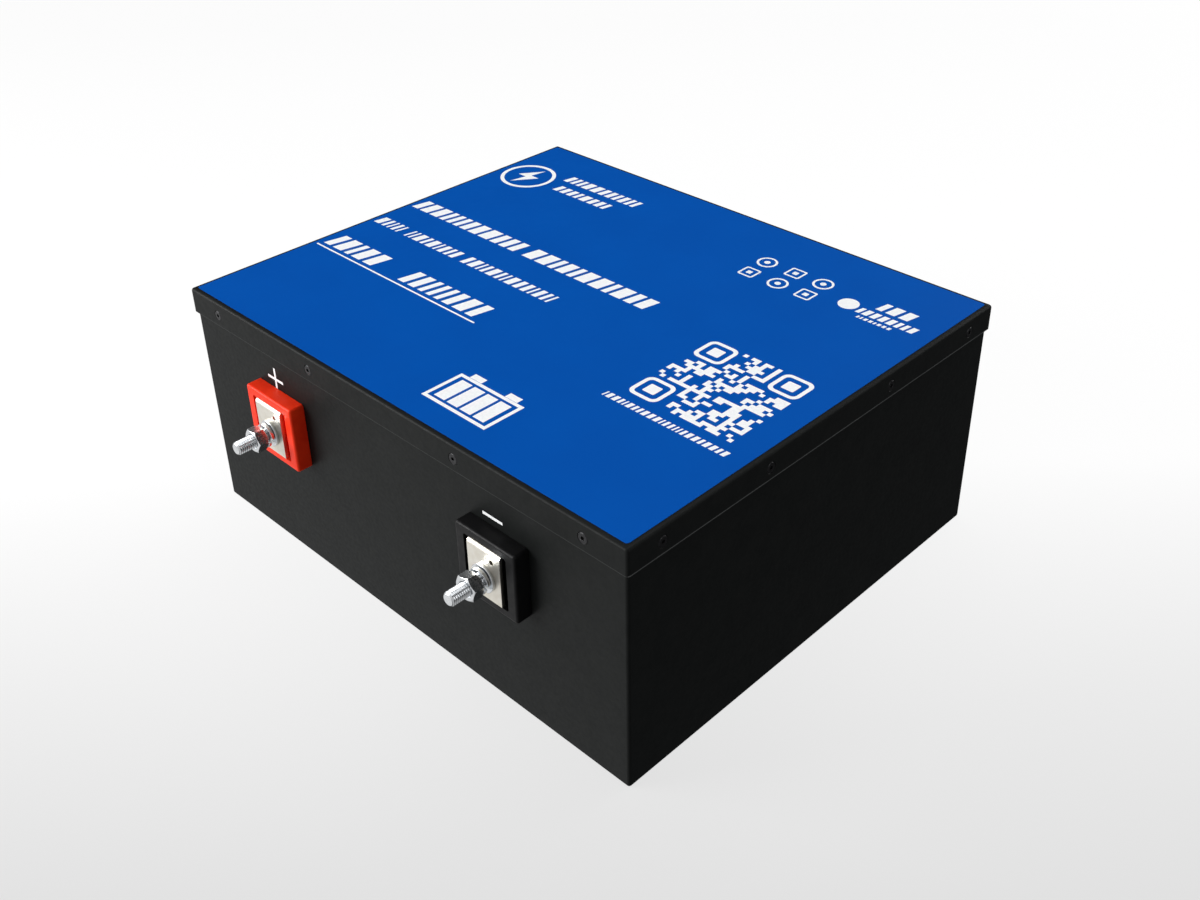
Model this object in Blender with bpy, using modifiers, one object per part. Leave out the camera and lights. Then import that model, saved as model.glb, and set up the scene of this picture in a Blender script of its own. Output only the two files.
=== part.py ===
"""Deep cycle battery in a slim sheet-steel case, with two M8 stud terminals on its front wall.

Metres, +Z up. X runs along the long side, the terminals face -Y, and the origin is the
centre of the case's underside. Inside the case, eight prismatic cells lie side by side
with their posts to the front. The protection board, its cables and its sensing leads
fill the space between the cells and the front wall.
"""
import math

import bmesh
import bpy
from mathutils import Matrix, Vector
from mathutils.geometry import interpolate_bezier

MM = 0.001
RIGHT_ANGLE = math.pi / 2

# Clearances
FIT = 0.3 * MM              # between two pieces that touch or are cut for each other
STACK_FIT = 0.1 * MM        # between the small faces stacked along a terminal stud
LABEL_FIT = 0.05 * MM       # between the lid and the film stuck on it
EASE = 1.0 * MM             # how far a cutter runs past the faces that it opens

# Case
CASE_LENGTH = 352.0 * MM    # over the lid, left to right
CASE_DEPTH = 297.6 * MM     # over the lid, front to back
CASE_HEIGHT = 148.0 * MM    # underside to the lid's top face
SHEET = 1.2 * MM            # steel sheet of the tray and the lid
BEND_RADIUS = 1.8 * MM      # outer radius of the folded edges
LID_FLANGE = 15.4 * MM      # how far the lid's edge hangs down outside the tray
LABEL_MARGIN = 3.0 * MM
LABEL_THICKNESS = 0.15 * MM
LABEL_CORNER = 1.5 * MM

# Lid screws, M3 countersunk, four along each side of the case
SCREW_HEAD = 6.0 * MM
SCREW_DIAMETER = 3.0 * MM
SCREW_CONE = 1.1 * MM       # depth of the countersunk head
SCREW_LENGTH = 6.0 * MM
SCREW_SOCKET = 2.0 * MM     # across the flats of the hex socket
SCREW_SOCKET_DEPTH = 0.8 * MM
SCREW_DROP = 8.4 * MM       # lid top to screw axis
SCREW_END_INSET = 27.5 * MM     # lid end to the outer screws of the front and back
SCREW_SIDE_INSET = 22.8 * MM    # lid front or back to the outer screws of the two ends
SCREW_INNER_X = 60.0 * MM
SCREW_INNER_Y = 50.0 * MM
SCREW_FACETS = 16

# Terminals, measured outwards from the tray's front wall
POSITIVE_INSET = 82.5 * MM  # lid's left end to the positive stud
NEGATIVE_INSET = 87.2 * MM  # lid's right end to the negative stud
BLOCK_DROP = 57.0 * MM      # lid top to the middle of the blocks
BLOCK_WIDTH = 43.0 * MM
BLOCK_HEIGHT = 41.5 * MM
BLOCK_REACH = 9.5 * MM
BLOCK_ROUNDING = 1.8 * MM
RECESS_WIDTH = 30.5 * MM
RECESS_HEIGHT = 32.0 * MM
RECESS_DEPTH = 5.5 * MM
WINDOW_WIDTH = 34.0 * MM    # opening in the tray's front wall behind each block
WINDOW_HEIGHT = 35.6 * MM
BOSS_DEPTH = 4.5 * MM       # how far the block's boss reaches in behind the wall
HOOK_WIDTH = 16.0 * MM
HOOK_LIP = 1.4 * MM
PLATE_WIDTH = 23.5 * MM
PLATE_HEIGHT = 30.5 * MM
PLATE_LIFT = 0.45 * MM      # plate's middle above the block's middle
PLATE_THICKNESS = 2.0 * MM
PLATE_FOLD = 2.6 * MM       # outer radius of the fold along the plate's top edge
PLATE_REACH = 10.5 * MM     # wall to the plate's front face
PLATE_PUNCH = 2.8 * MM      # small punched hole beside the stud
PLATE_PUNCH_RIGHT = 5.7 * MM
PLATE_PUNCH_UP = 12.0 * MM
SADDLE_MARGIN = 1.5 * MM    # the plastic saddle behind the plate is this much smaller a side
STUD_DIAMETER = 8.0 * MM
STUD_REACH = 33.6 * MM
STUD_DROP = 2.2 * MM        # stud axis below the block's middle
STUD_CHAMFER = 1.0 * MM
STUD_HEAD = 13.0 * MM       # across flats
STUD_HEAD_THICKNESS = 3.4 * MM
WASHER_DIAMETER = 16.0 * MM
WASHER_THICKNESS = 1.6 * MM
SPRING_DIAMETER = 13.8 * MM
SPRING_THICKNESS = 2.0 * MM
SPRING_FREE_HEIGHT = 4.1 * MM
SPRING_SWEEP = math.radians(345)
NUT_ACROSS_FLATS = 13.0 * MM
NUT_THICKNESS = 6.5 * MM
NUT_CHAMFER_ANGLE = math.radians(30)
POSITIVE_NUT_TURN = math.radians(3)
NEGATIVE_NUT_TURN = math.radians(13)

# Cells: four pairs in series. Their size is what the case leaves beside these spaces.
CELL_COUNT = 8
CELL_GAP = 0.4 * MM         # wrapping between two cells
SIDE_SPACE = 25.1 * MM      # tray's end wall to the row of cells
BACK_SPACE = 3.0 * MM       # tray's back wall to the cells
FRONT_SPACE = 91.7 * MM     # tray's front wall to the cells, for the board and cables
TOP_SPACE = 11.7 * MM       # cells to the lid's underside
BOTTOM_PAD = 3.0 * MM
CELL_ROUNDING = 2.0 * MM
POST_DIAMETER = 16.0 * MM
POST_HEIGHT = 3.0 * MM
POST_OFFSET = 39.0 * MM     # post to the cell's middle
TOP_PAD_SHORTFALL = 9.0 * MM    # top pad's back edge stays clear of the screw tips
STRAP_WIDTH = 16.0 * MM
STRAP_THICKNESS = 0.8 * MM
STRAP_CORNER = 2.5 * MM
STRAP_INSET = 43.0 * MM     # strap's middle to the end of the cells
STOP_LEG = 10.0 * MM        # steel angle on the floor in front of the cells
STOP_THICKNESS = 1.5 * MM

# Busbars, insulating board and sensing leads
BUSBAR_THICKNESS = 2.0 * MM
BUSBAR_WIDTH = 24.0 * MM
BUSBAR_MARGIN = 13.0 * MM   # busbar end past the outermost post's centre
BUSBAR_FOLD = 2.2 * MM
BOARD_THICKNESS = 1.5 * MM
LOOM_DIAMETER = 4.0 * MM
SENSE_WIRE = 2.0 * MM
SENSOR_DIAMETER = 4.4 * MM
SENSOR_LENGTH = 9.0 * MM
SENSOR_DROP = 14.0 * MM     # sensor below the middle of the cells

# Protection board and power cables
SINK_LENGTH = 190.0 * MM
SINK_DEPTH = 66.0 * MM
SINK_HEIGHT = 14.0 * MM
SINK_WALL = 2.0 * MM
SINK_FLOOR = 3.0 * MM
SINK_END_SPACE = 48.3 * MM  # heat sink to the tray's right end wall
SINK_FRONT_SPACE = 6.0 * MM
PILLAR_DIAMETER = 6.0 * MM
PILLAR_HEIGHT = 4.0 * MM
PCB_THICKNESS = 1.6 * MM
CABLE_DIAMETER = 9.0 * MM
LUG_WIDTH = 15.0 * MM
LUG_LENGTH = 15.0 * MM
LUG_THICKNESS = 2.4 * MM
BARREL_LENGTH = 11.0 * MM
BARREL_WALL = 1.4 * MM
HEADER_SIZE = (22.0 * MM, 7.0 * MM, 5.0 * MM)
SMALL_HEADER_SIZE = (8.0 * MM, 7.0 * MM, 5.0 * MM)
HEADER_INSET = 22.0 * MM    # heat sink's left end to the cell header's middle
HEADER_EDGE = 6.0 * MM      # board's back edge to the headers' middle
SENSOR_HEADER_STEP = 24.0 * MM
RADIO_HEADER_STEP = 40.0 * MM
POST_BLOCK = (16.0 * MM, 6.0 * MM, 28.0 * MM)
PACK_POST_PLACE = (78.0 * MM, 3.0 * MM)     # from the heat sink's middle
LOAD_POST_PLACE = (40.0 * MM, 21.0 * MM)
TRANSISTOR_SIZE = (10.0 * MM, 9.0 * MM, 4.5 * MM)
TRANSISTOR_COUNT = 9
TRANSISTOR_PITCH = 15.0 * MM
TRANSISTOR_START = -78.0 * MM
TRANSISTOR_EDGE = 10.0 * MM     # board's front edge to the transistors' middle
SHUNT_SIZE = (20.0 * MM, 6.0 * MM, 3.0 * MM)
SHUNT_PLACES = ((5.0 * MM, -4.0 * MM), (5.0 * MM, 7.0 * MM))
CONTROLLER_SIZE = (12.0 * MM, 12.0 * MM, 1.6 * MM)
CONTROLLER_PLACE = (-65.0 * MM, -2.0 * MM)
CAPACITOR_DIAMETER = 10.0 * MM
CAPACITOR_HEIGHT = 12.0 * MM
CAPACITOR_PLACES = ((-18.0 * MM, 4.0 * MM), (-31.0 * MM, 4.0 * MM))
MODULE_SIZE = (40.0 * MM, 1.6 * MM, 24.0 * MM)
SHIELD_HEIGHT = 2.4 * MM    # shielding can, above the module's board

# Worked out from the values above
TRAY_LENGTH = CASE_LENGTH - 2 * (SHEET + FIT)
TRAY_DEPTH = CASE_DEPTH - 2 * (SHEET + FIT)
TRAY_HEIGHT = CASE_HEIGHT - SHEET - FIT
FRONT = -TRAY_DEPTH / 2             # outer face of the tray's front wall
FRONT_INSIDE = FRONT + SHEET
SIDE_INSIDE = TRAY_LENGTH / 2 - SHEET
BLOCK_Z = CASE_HEIGHT - BLOCK_DROP
PLATE_TOP = BLOCK_Z + PLATE_LIFT + PLATE_HEIGHT / 2
STUD_Z = BLOCK_Z - STUD_DROP
WASHER_START = PLATE_REACH + STACK_FIT
SPRING_START = WASHER_START + WASHER_THICKNESS + STACK_FIT
NUT_START = SPRING_START + SPRING_FREE_HEIGHT + STACK_FIT
CELL_BOTTOM = SHEET + FIT + BOTTOM_PAD + FIT
CELL_TOP = CASE_HEIGHT - SHEET - TOP_SPACE
CELL_WIDTH = CELL_TOP - CELL_BOTTOM
CELL_Z = (CELL_TOP + CELL_BOTTOM) / 2
CELL_BACK = TRAY_DEPTH / 2 - SHEET - BACK_SPACE
CELL_FRONT = FRONT_INSIDE + FRONT_SPACE
CELL_BODY = CELL_BACK - CELL_FRONT
CELL_Y = (CELL_BACK + CELL_FRONT) / 2
ROW_LENGTH = 2 * (SIDE_INSIDE - SIDE_SPACE)
CELL_PITCH = (ROW_LENGTH + CELL_GAP) / CELL_COUNT
CELL_THICKNESS = CELL_PITCH - CELL_GAP
BUSBAR_BACK = CELL_FRONT - POST_HEIGHT - FIT
BUSBAR_FRONT = BUSBAR_BACK - BUSBAR_THICKNESS
BOARD_BACK = BUSBAR_FRONT - FIT
BOARD_FRONT = BOARD_BACK - BOARD_THICKNESS
PLATE_TAIL = BOSS_DEPTH + LUG_LENGTH    # folded tail behind the wall, as long as its lug
TAG_ROOT = BOARD_FRONT - FIT            # the end busbars' tags stand out from here
TAG_END = TAG_ROOT - LUG_LENGTH + FIT
LOOM_Y = BOARD_FRONT - FIT - LOOM_DIAMETER / 2
SINK_X = SIDE_INSIDE - SINK_END_SPACE - SINK_LENGTH / 2
SINK_FRONT = FRONT_INSIDE + SINK_FRONT_SPACE
SINK_Y = SINK_FRONT + SINK_DEPTH / 2
SINK_BOTTOM = SHEET + FIT
PCB_BOTTOM = SINK_BOTTOM + SINK_FLOOR + PILLAR_HEIGHT + FIT
PCB_TOP = PCB_BOTTOM + PCB_THICKNESS
BARREL_RADIUS = CABLE_DIAMETER / 2 + BARREL_WALL
SCREW_Z = CASE_HEIGHT - SCREW_DROP
POSITIVE_X = -CASE_LENGTH / 2 + POSITIVE_INSET
NEGATIVE_X = CASE_LENGTH / 2 - NEGATIVE_INSET
BLOCK_UP = STUD_DROP                # block's middle above the stud's axis
PLATE_UP = STUD_DROP + PLATE_LIFT
TAIL_UP = PLATE_UP + PLATE_HEIGHT / 2 - PLATE_THICKNESS / 2
HEADER_X = SINK_X - SINK_LENGTH / 2 + HEADER_INSET
SENSOR_HEADER_X = HEADER_X + SENSOR_HEADER_STEP
RADIO_HEADER_X = HEADER_X + RADIO_HEADER_STEP
HEADER_Y = SINK_Y + SINK_DEPTH / 2 - SINK_WALL - FIT - HEADER_EDGE
PACK_POST = (SINK_X + PACK_POST_PLACE[0], SINK_Y + PACK_POST_PLACE[1])
LOAD_POST = (SINK_X + LOAD_POST_PLACE[0], SINK_Y + LOAD_POST_PLACE[1])


for leftover in list(bpy.data.objects):
    bpy.data.objects.remove(leftover, do_unlink=True)

PARTS = bpy.data.collections.new("deep_cycle_battery")
CUTTERS = bpy.data.collections.new("cutters")
for collection in (PARTS, CUTTERS):
    bpy.context.scene.collection.children.link(collection)


# ---- Finishes -------------------------------------------------------------------------

def finish(name, colour, roughness, metallic=0.0):
    material = bpy.data.materials.new(name)
    material.use_nodes = True
    shader = material.node_tree.nodes["Principled BSDF"]
    shader.inputs["Base Color"].default_value = (*colour, 1.0)
    shader.inputs["Roughness"].default_value = roughness
    shader.inputs["Metallic"].default_value = metallic
    return material


CASE_PAINT = finish("case_paint", (0.027, 0.030, 0.030), 0.45)
LABEL_FILM = finish("label_film", (0.0, 0.080, 0.380), 0.35)
SCREW_BLACK = finish("black_oxide", (0.010, 0.010, 0.011), 0.4, 1.0)
RED_PLASTIC = finish("red_plastic", (0.850, 0.035, 0.015), 0.4)
BLACK_PLASTIC = finish("black_plastic", (0.020, 0.020, 0.022), 0.5)
NICKEL = finish("nickel_plate", (0.780, 0.760, 0.700), 0.25, 1.0)
ZINC = finish("bright_zinc", (0.800, 0.820, 0.840), 0.2, 1.0)
CELL_WRAP = finish("cell_wrap", (0.020, 0.150, 0.420), 0.4)
ALUMINIUM = finish("aluminium", (0.780, 0.790, 0.800), 0.35, 1.0)
FOAM = finish("grey_foam", (0.110, 0.110, 0.115), 0.95)
STRAPPING = finish("woven_strapping", (0.720, 0.720, 0.660), 0.6)
GLASS_BOARD = finish("glass_fibre_board", (0.350, 0.420, 0.180), 0.5)
CIRCUIT_GREEN = finish("circuit_board", (0.010, 0.120, 0.045), 0.4)
STEEL_PLATED = finish("plated_steel", (0.560, 0.570, 0.580), 0.35, 1.0)
RED_CABLE = finish("red_silicone", (0.620, 0.030, 0.020), 0.5)
BLACK_CABLE = finish("black_silicone", (0.015, 0.015, 0.016), 0.5)
WIRE_WHITE = finish("white_wire", (0.750, 0.750, 0.730), 0.5)


# ---- Objects and modelling tools ------------------------------------------------------

def place(name, mesh, material=None, at=(0, 0, 0), turn=(0, 0, 0), parent=None):
    """Adds a mesh as a piece of the battery, or as a cutter where it has no material."""
    item = bpy.data.objects.new(name, mesh)
    item.location = at
    item.rotation_euler = turn
    item.parent = parent
    if material:
        if not mesh.materials:
            mesh.materials.append(material)
        PARTS.objects.link(item)
    else:
        CUTTERS.objects.link(item)
        item.hide_render = True
        item.display_type = "WIRE"
    return item


def to_mesh(shape, name):
    mesh = bpy.data.meshes.new(name)
    shape.to_mesh(mesh)
    shape.free()
    return mesh


def box_mesh(name, size, centre=(0, 0, 0)):
    shape = bmesh.new()
    bmesh.ops.create_cube(shape, size=1.0)
    bmesh.ops.scale(shape, vec=size, verts=shape.verts)
    bmesh.ops.translate(shape, vec=centre, verts=shape.verts)
    return to_mesh(shape, name)


def span_box(name, low, high, material=None, parent=None):
    """A box from its lowest to its highest corner, with its origin at its middle."""
    low = Vector(low)
    high = Vector(high)
    return place(name, box_mesh(name, high - low), material, at=(low + high) / 2, parent=parent)


def round_mesh(name, radius, length, sides=24, far_radius=None, base=0.0):
    """A cylinder, cone or prism that stands on z = base and points along +Z."""
    shape = bmesh.new()
    bmesh.ops.create_cone(shape, cap_ends=True, segments=sides, radius1=radius,
                          radius2=radius if far_radius is None else far_radius, depth=length)
    bmesh.ops.translate(shape, vec=(0, 0, base + length / 2), verts=shape.verts)
    return to_mesh(shape, name)


def hexagon_mesh(name, across_flats, length, base=0.0):
    """A hexagonal prism with corners on the X axis."""
    mesh = round_mesh(name, across_flats / math.sqrt(3), length, sides=6, base=base)
    mesh.transform(Matrix.Rotation(math.radians(30), 4, "Z"))
    return mesh


def line_mesh(name, points, closed=False):
    """A polyline, for Screw to turn or for strip_mesh() to draw out."""
    shape = bmesh.new()
    corners = [shape.verts.new(point) for point in points]
    for first, second in zip(corners, corners[1:]):
        shape.edges.new((first, second))
    if closed:
        shape.edges.new((corners[-1], corners[0]))
    return to_mesh(shape, name)


def turn_profile(item, steps=32):
    """Turns a profile at +X, drawn down its outer side from top to bottom, about local Z."""
    screw = item.modifiers.new("turned", "SCREW")
    screw.steps = steps
    screw.render_steps = steps
    screw.use_merge_vertices = True
    screw.merge_threshold = 0.01 * MM
    return item


def strip_mesh(name, points, width, direction, closed=False):
    """An open strip: a polyline drawn out by width, centred on the line's own plane."""
    shape = bmesh.new()
    shape.from_mesh(line_mesh(name + "_line", points, closed))
    direction = Vector(direction).normalized()
    drawn = bmesh.ops.extrude_edge_only(shape, edges=shape.edges[:])
    moved = [part for part in drawn["geom"] if isinstance(part, bmesh.types.BMVert)]
    bmesh.ops.translate(shape, vec=direction * width, verts=moved)
    bmesh.ops.translate(shape, vec=direction * (-width / 2), verts=shape.verts)
    return to_mesh(shape, name)


def thicken(item, thickness, side):
    """Gives an open surface its thickness on one side of it: side is 1 or -1."""
    solid = item.modifiers.new("sheet", "SOLIDIFY")
    solid.thickness = thickness
    solid.offset = side
    solid.use_even_offset = True
    return item


def soften(item, width, segments=3, angle=40):
    bevel = item.modifiers.new("rounding", "BEVEL")
    bevel.width = width
    bevel.segments = segments
    bevel.limit_method = "ANGLE"
    bevel.angle_limit = math.radians(angle)
    return item


def combine(item, tool, operation):
    boolean = item.modifiers.new(tool.name, "BOOLEAN")
    boolean.operation = operation
    boolean.solver = "EXACT"
    boolean.object = tool
    return item


def cut(item, *tools):
    for tool in tools:
        combine(item, tool, "DIFFERENCE")
    return item


def join(item, *tools):
    for tool in tools:
        combine(item, tool, "UNION")
    return item


def smooth(item, angle=35):
    item.data.shade_smooth()
    item.data.set_sharp_from_angle(angle=math.radians(angle))
    return item


def arc(centre, radius, start, end, steps):
    """Points on an arc in a plane, as pairs, from one angle to another in degrees."""
    angles = [math.radians(start + (end - start) * step / steps) for step in range(steps + 1)]
    return [(centre[0] + radius * math.cos(a), centre[1] + radius * math.sin(a)) for a in angles]


def tube_mesh(name, points, diameter, resolution=2):
    """A round tube with closed ends along a polyline, made as a bevelled curve."""
    curve = bpy.data.curves.new(name, "CURVE")
    curve.dimensions = "3D"
    curve.bevel_depth = diameter / 2
    curve.bevel_resolution = resolution
    curve.use_fill_caps = True
    spline = curve.splines.new("POLY")
    spline.points.add(len(points) - 1)
    for knot, point in zip(spline.points, points):
        knot.co = (*point, 1.0)
    guide = bpy.data.objects.new(name + "_curve", curve)
    CUTTERS.objects.link(guide)
    bpy.context.view_layer.update()
    mesh = bpy.data.meshes.new_from_object(guide.evaluated_get(bpy.context.evaluated_depsgraph_get()))
    bpy.data.objects.remove(guide)
    shape = bmesh.new()
    shape.from_mesh(mesh)
    bmesh.ops.remove_doubles(shape, verts=shape.verts, dist=0.01 * MM)
    bmesh.ops.recalc_face_normals(shape, faces=shape.faces)
    mesh.materials.clear()
    shape.to_mesh(mesh)
    shape.free()
    mesh.name = name
    return mesh


def bend_route(start, heading, end, arrival, count=14):
    """Points on a smooth bend that leaves start along heading and reaches end along arrival."""
    start = Vector(start)
    end = Vector(end)
    reach = (end - start).length * 0.45
    near = start + Vector(heading) * reach
    far = end - Vector(arrival) * reach
    return interpolate_bezier(start, near, far, end, count)


# ---- Case: tray, lid and the film on the lid ------------------------------------------

def screw_places():
    """Each lid screw's place on the lid's outer face, with the turn that points its head out."""
    end = CASE_LENGTH / 2
    side = CASE_DEPTH / 2
    far_x = end - SCREW_END_INSET
    far_y = side - SCREW_SIDE_INSET
    places = []
    for x in (-far_x, -SCREW_INNER_X, SCREW_INNER_X, far_x):
        places.append((Vector((x, -side, SCREW_Z)), (RIGHT_ANGLE, 0, 0)))
        places.append((Vector((x, side, SCREW_Z)), (-RIGHT_ANGLE, 0, 0)))
    for y in (-far_y, -SCREW_INNER_Y, SCREW_INNER_Y, far_y):
        places.append((Vector((end, y, SCREW_Z)), (0, RIGHT_ANGLE, 0)))
        places.append((Vector((-end, y, SCREW_Z)), (0, -RIGHT_ANGLE, 0)))
    return places


SCREW_PLACES = screw_places()


def screw_hole_cutters():
    """Countersunk holes, one cutter for the lid and the tray at each screw."""
    mouth = SCREW_HEAD / 2 + FIT
    waist = SCREW_DIAMETER / 2 + FIT
    depth = mouth - waist
    profile = [(0, 0, EASE), (mouth, 0, EASE), (mouth, 0, 0), (waist, 0, -depth),
               (waist, 0, -SCREW_LENGTH - EASE), (0, 0, -SCREW_LENGTH - EASE)]
    mesh = line_mesh("screw_hole", profile)
    return [turn_profile(place(f"screw_hole_{number}", mesh, at=spot, turn=turn), SCREW_FACETS)
            for number, (spot, turn) in enumerate(SCREW_PLACES, start=1)]


def window_cutters():
    size = (WINDOW_WIDTH, 4 * SHEET, WINDOW_HEIGHT)
    mesh = box_mesh("terminal_window", size)
    return [place("terminal_window", mesh, at=(x, FRONT + SHEET / 2, BLOCK_Z))
            for x in (POSITIVE_X, NEGATIVE_X)]


def pan_mesh(name, length, depth, height, open_side):
    """Five faces of a box on z = 0; open_side is the z direction of the missing face."""
    shape = bmesh.new()
    bmesh.ops.create_cube(shape, size=1.0)
    bmesh.ops.scale(shape, vec=(length, depth, height), verts=shape.verts)
    bmesh.ops.translate(shape, vec=(0, 0, height / 2), verts=shape.verts)
    missing = [face for face in shape.faces if face.normal.z * open_side > 0.5]
    bmesh.ops.delete(shape, geom=missing, context="FACES")
    return to_mesh(shape, name)


def folded_pan(name, length, depth, height, open_side, at_z):
    pan = place(name, pan_mesh(name, length, depth, height, open_side), CASE_PAINT, at=(0, 0, at_z))
    soften(pan, BEND_RADIUS)
    thicken(pan, SHEET, -1)
    return pan


def make_case():
    holes = screw_hole_cutters()
    tray = folded_pan("tray", TRAY_LENGTH, TRAY_DEPTH, TRAY_HEIGHT, 1, 0)
    cut(tray, *holes, *window_cutters())
    lid = folded_pan("lid", CASE_LENGTH, CASE_DEPTH, LID_FLANGE, -1, CASE_HEIGHT - LID_FLANGE)
    cut(lid, *holes)


def make_label():
    length = CASE_LENGTH - 2 * LABEL_MARGIN
    depth = CASE_DEPTH - 2 * LABEL_MARGIN
    shape = bmesh.new()
    bmesh.ops.create_cube(shape, size=1.0)
    bmesh.ops.scale(shape, vec=(length, depth, LABEL_THICKNESS), verts=shape.verts)
    corners = [edge for edge in shape.edges
               if abs(edge.verts[0].co.z - edge.verts[1].co.z) > LABEL_THICKNESS / 2]
    bmesh.ops.bevel(shape, geom=corners, offset=LABEL_CORNER, segments=4, affect="EDGES", profile=0.5)
    middle = CASE_HEIGHT + LABEL_FIT + LABEL_THICKNESS / 2
    place("top_label", to_mesh(shape, "top_label"), LABEL_FILM, at=(0, 0, middle))


def make_lid_screws():
    """M3 countersunk screws. Each has its origin in the middle of its head's face."""
    head = SCREW_HEAD / 2
    shank = SCREW_DIAMETER / 2
    profile = line_mesh("lid_screw", [(0, 0, 0), (head, 0, 0), (shank, 0, -SCREW_CONE),
                                      (shank, 0, -SCREW_LENGTH), (0, 0, -SCREW_LENGTH)])
    socket = hexagon_mesh("screw_socket", SCREW_SOCKET, SCREW_SOCKET_DEPTH + EASE, -SCREW_SOCKET_DEPTH)
    for number, (spot, turn) in enumerate(SCREW_PLACES, start=1):
        screw = place(f"lid_screw_{number:02d}", profile, SCREW_BLACK, at=spot, turn=turn)
        turn_profile(screw, SCREW_FACETS)
        cut(screw, place("screw_socket", socket, at=spot, turn=turn))


# ---- Terminals ------------------------------------------------------------------------
# Each terminal is built about an empty on its stud's axis, at the wall's outer face.
# Local X is right, local Y is up and local Z points out of the wall.

def terminal_frame(name, x):
    frame = bpy.data.objects.new(name, None)
    frame.location = (x, FRONT, STUD_Z)
    frame.rotation_euler = (RIGHT_ANGLE, 0, 0)
    PARTS.objects.link(frame)
    return frame


def local_box(name, width, height, z_low, z_high, up, frame, material=None, right=0.0):
    mesh = box_mesh(name, (width, height, z_high - z_low))
    return place(name, mesh, material, at=(right, up, (z_low + z_high) / 2), parent=frame)


def make_block(side, frame, plastic):
    """Moulded block: a face outside the wall, a boss through its window and two snap hooks."""
    boss_back = -(SHEET + BOSS_DEPTH)
    block = local_box(f"{side}_terminal_block", BLOCK_WIDTH, BLOCK_HEIGHT, FIT, BLOCK_REACH, BLOCK_UP,
                      frame, plastic)
    soften(block, BLOCK_ROUNDING)
    join(block, local_box("boss", WINDOW_WIDTH - 2 * FIT, WINDOW_HEIGHT - 2 * FIT, boss_back,
                          BLOCK_REACH / 2, BLOCK_UP, frame))
    join(block, local_box("hooks", WINDOW_WIDTH + 2 * HOOK_LIP, HOOK_WIDTH, boss_back,
                          -(SHEET + FIT), BLOCK_UP, frame))
    recess = local_box("recess", RECESS_WIDTH, RECESS_HEIGHT, BLOCK_REACH - RECESS_DEPTH,
                       BLOCK_REACH + EASE, BLOCK_UP, frame)
    plate_back = PLATE_REACH - PLATE_THICKNESS - FIT
    saddle_top = TAIL_UP - PLATE_THICKNESS / 2 - FIT
    saddle_bottom = PLATE_UP - PLATE_HEIGHT / 2 + SADDLE_MARGIN
    saddle = local_box("saddle", PLATE_WIDTH - 2 * SADDLE_MARGIN, saddle_top - saddle_bottom,
                       BLOCK_REACH - RECESS_DEPTH - EASE, plate_back,
                       (saddle_top + saddle_bottom) / 2, frame)
    slot = local_box("tail_slot", PLATE_WIDTH + 2 * FIT, PLATE_THICKNESS + 2 * FIT, boss_back - EASE,
                     BLOCK_REACH, TAIL_UP, frame)
    pocket_floor = plate_back - STUD_HEAD_THICKNESS - FIT
    pocket = hexagon_mesh("head_pocket", STUD_HEAD + 2 * FIT, BLOCK_REACH, pocket_floor)
    cut(block, recess)
    join(block, saddle)
    cut(block, slot, place("head_pocket", pocket, parent=frame))
    return block


def make_plate(side, frame):
    """Nickel-plated plate, folded over the block's saddle and back through the wall."""
    bottom = PLATE_UP - PLATE_HEIGHT / 2
    top = PLATE_UP + PLATE_HEIGHT / 2
    fold = arc((PLATE_REACH - PLATE_FOLD, top - PLATE_FOLD), PLATE_FOLD, 0, 90, 5)
    outline = [(PLATE_REACH, bottom)] + fold + [(-(SHEET + PLATE_TAIL), top)]
    points = [(0, up, out) for out, up in outline]
    name = f"{side}_terminal_plate"
    plate = place(name, strip_mesh(name, points, PLATE_WIDTH, (1, 0, 0)), NICKEL, parent=frame)
    thicken(plate, PLATE_THICKNESS, -1)
    bore = round_mesh("stud_hole", STUD_DIAMETER / 2 + FIT, 4 * PLATE_THICKNESS,
                      base=PLATE_REACH - 2 * PLATE_THICKNESS)
    punch = round_mesh("punch", PLATE_PUNCH / 2, 4 * PLATE_THICKNESS, sides=16,
                       base=PLATE_REACH - 2 * PLATE_THICKNESS)
    cut(plate, place("stud_hole", bore, parent=frame),
        place("punch", punch, at=(PLATE_PUNCH_RIGHT, PLATE_PUNCH_UP, 0), parent=frame))
    return smooth(plate)


def make_stud(side, frame):
    """M8 bolt, held by its hex head in the block's pocket behind the plate."""
    radius = STUD_DIAMETER / 2
    head_front = PLATE_REACH - PLATE_THICKNESS - FIT
    head_back = head_front - STUD_HEAD_THICKNESS
    profile = [(0, 0, STUD_REACH), (radius - STUD_CHAMFER, 0, STUD_REACH),
               (radius, 0, STUD_REACH - STUD_CHAMFER), (radius, 0, head_back + STUD_CHAMFER),
               (0, 0, head_back + STUD_CHAMFER)]
    name = f"{side}_terminal_stud"
    stud = place(name, line_mesh(name, profile), ZINC, parent=frame)
    turn_profile(stud, steps=32)
    head = hexagon_mesh("stud_head", STUD_HEAD, STUD_HEAD_THICKNESS, head_back)
    return join(stud, place("stud_head", head, parent=frame))


def make_washer(side, frame):
    outer = WASHER_DIAMETER / 2
    inner = STUD_DIAMETER / 2 + FIT
    top = WASHER_START + WASHER_THICKNESS
    corners = [(outer, 0, top), (outer, 0, WASHER_START), (inner, 0, WASHER_START), (inner, 0, top)]
    name = f"{side}_flat_washer"
    washer = place(name, line_mesh(name, corners, closed=True), ZINC, parent=frame)
    return turn_profile(washer, steps=36)


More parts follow.
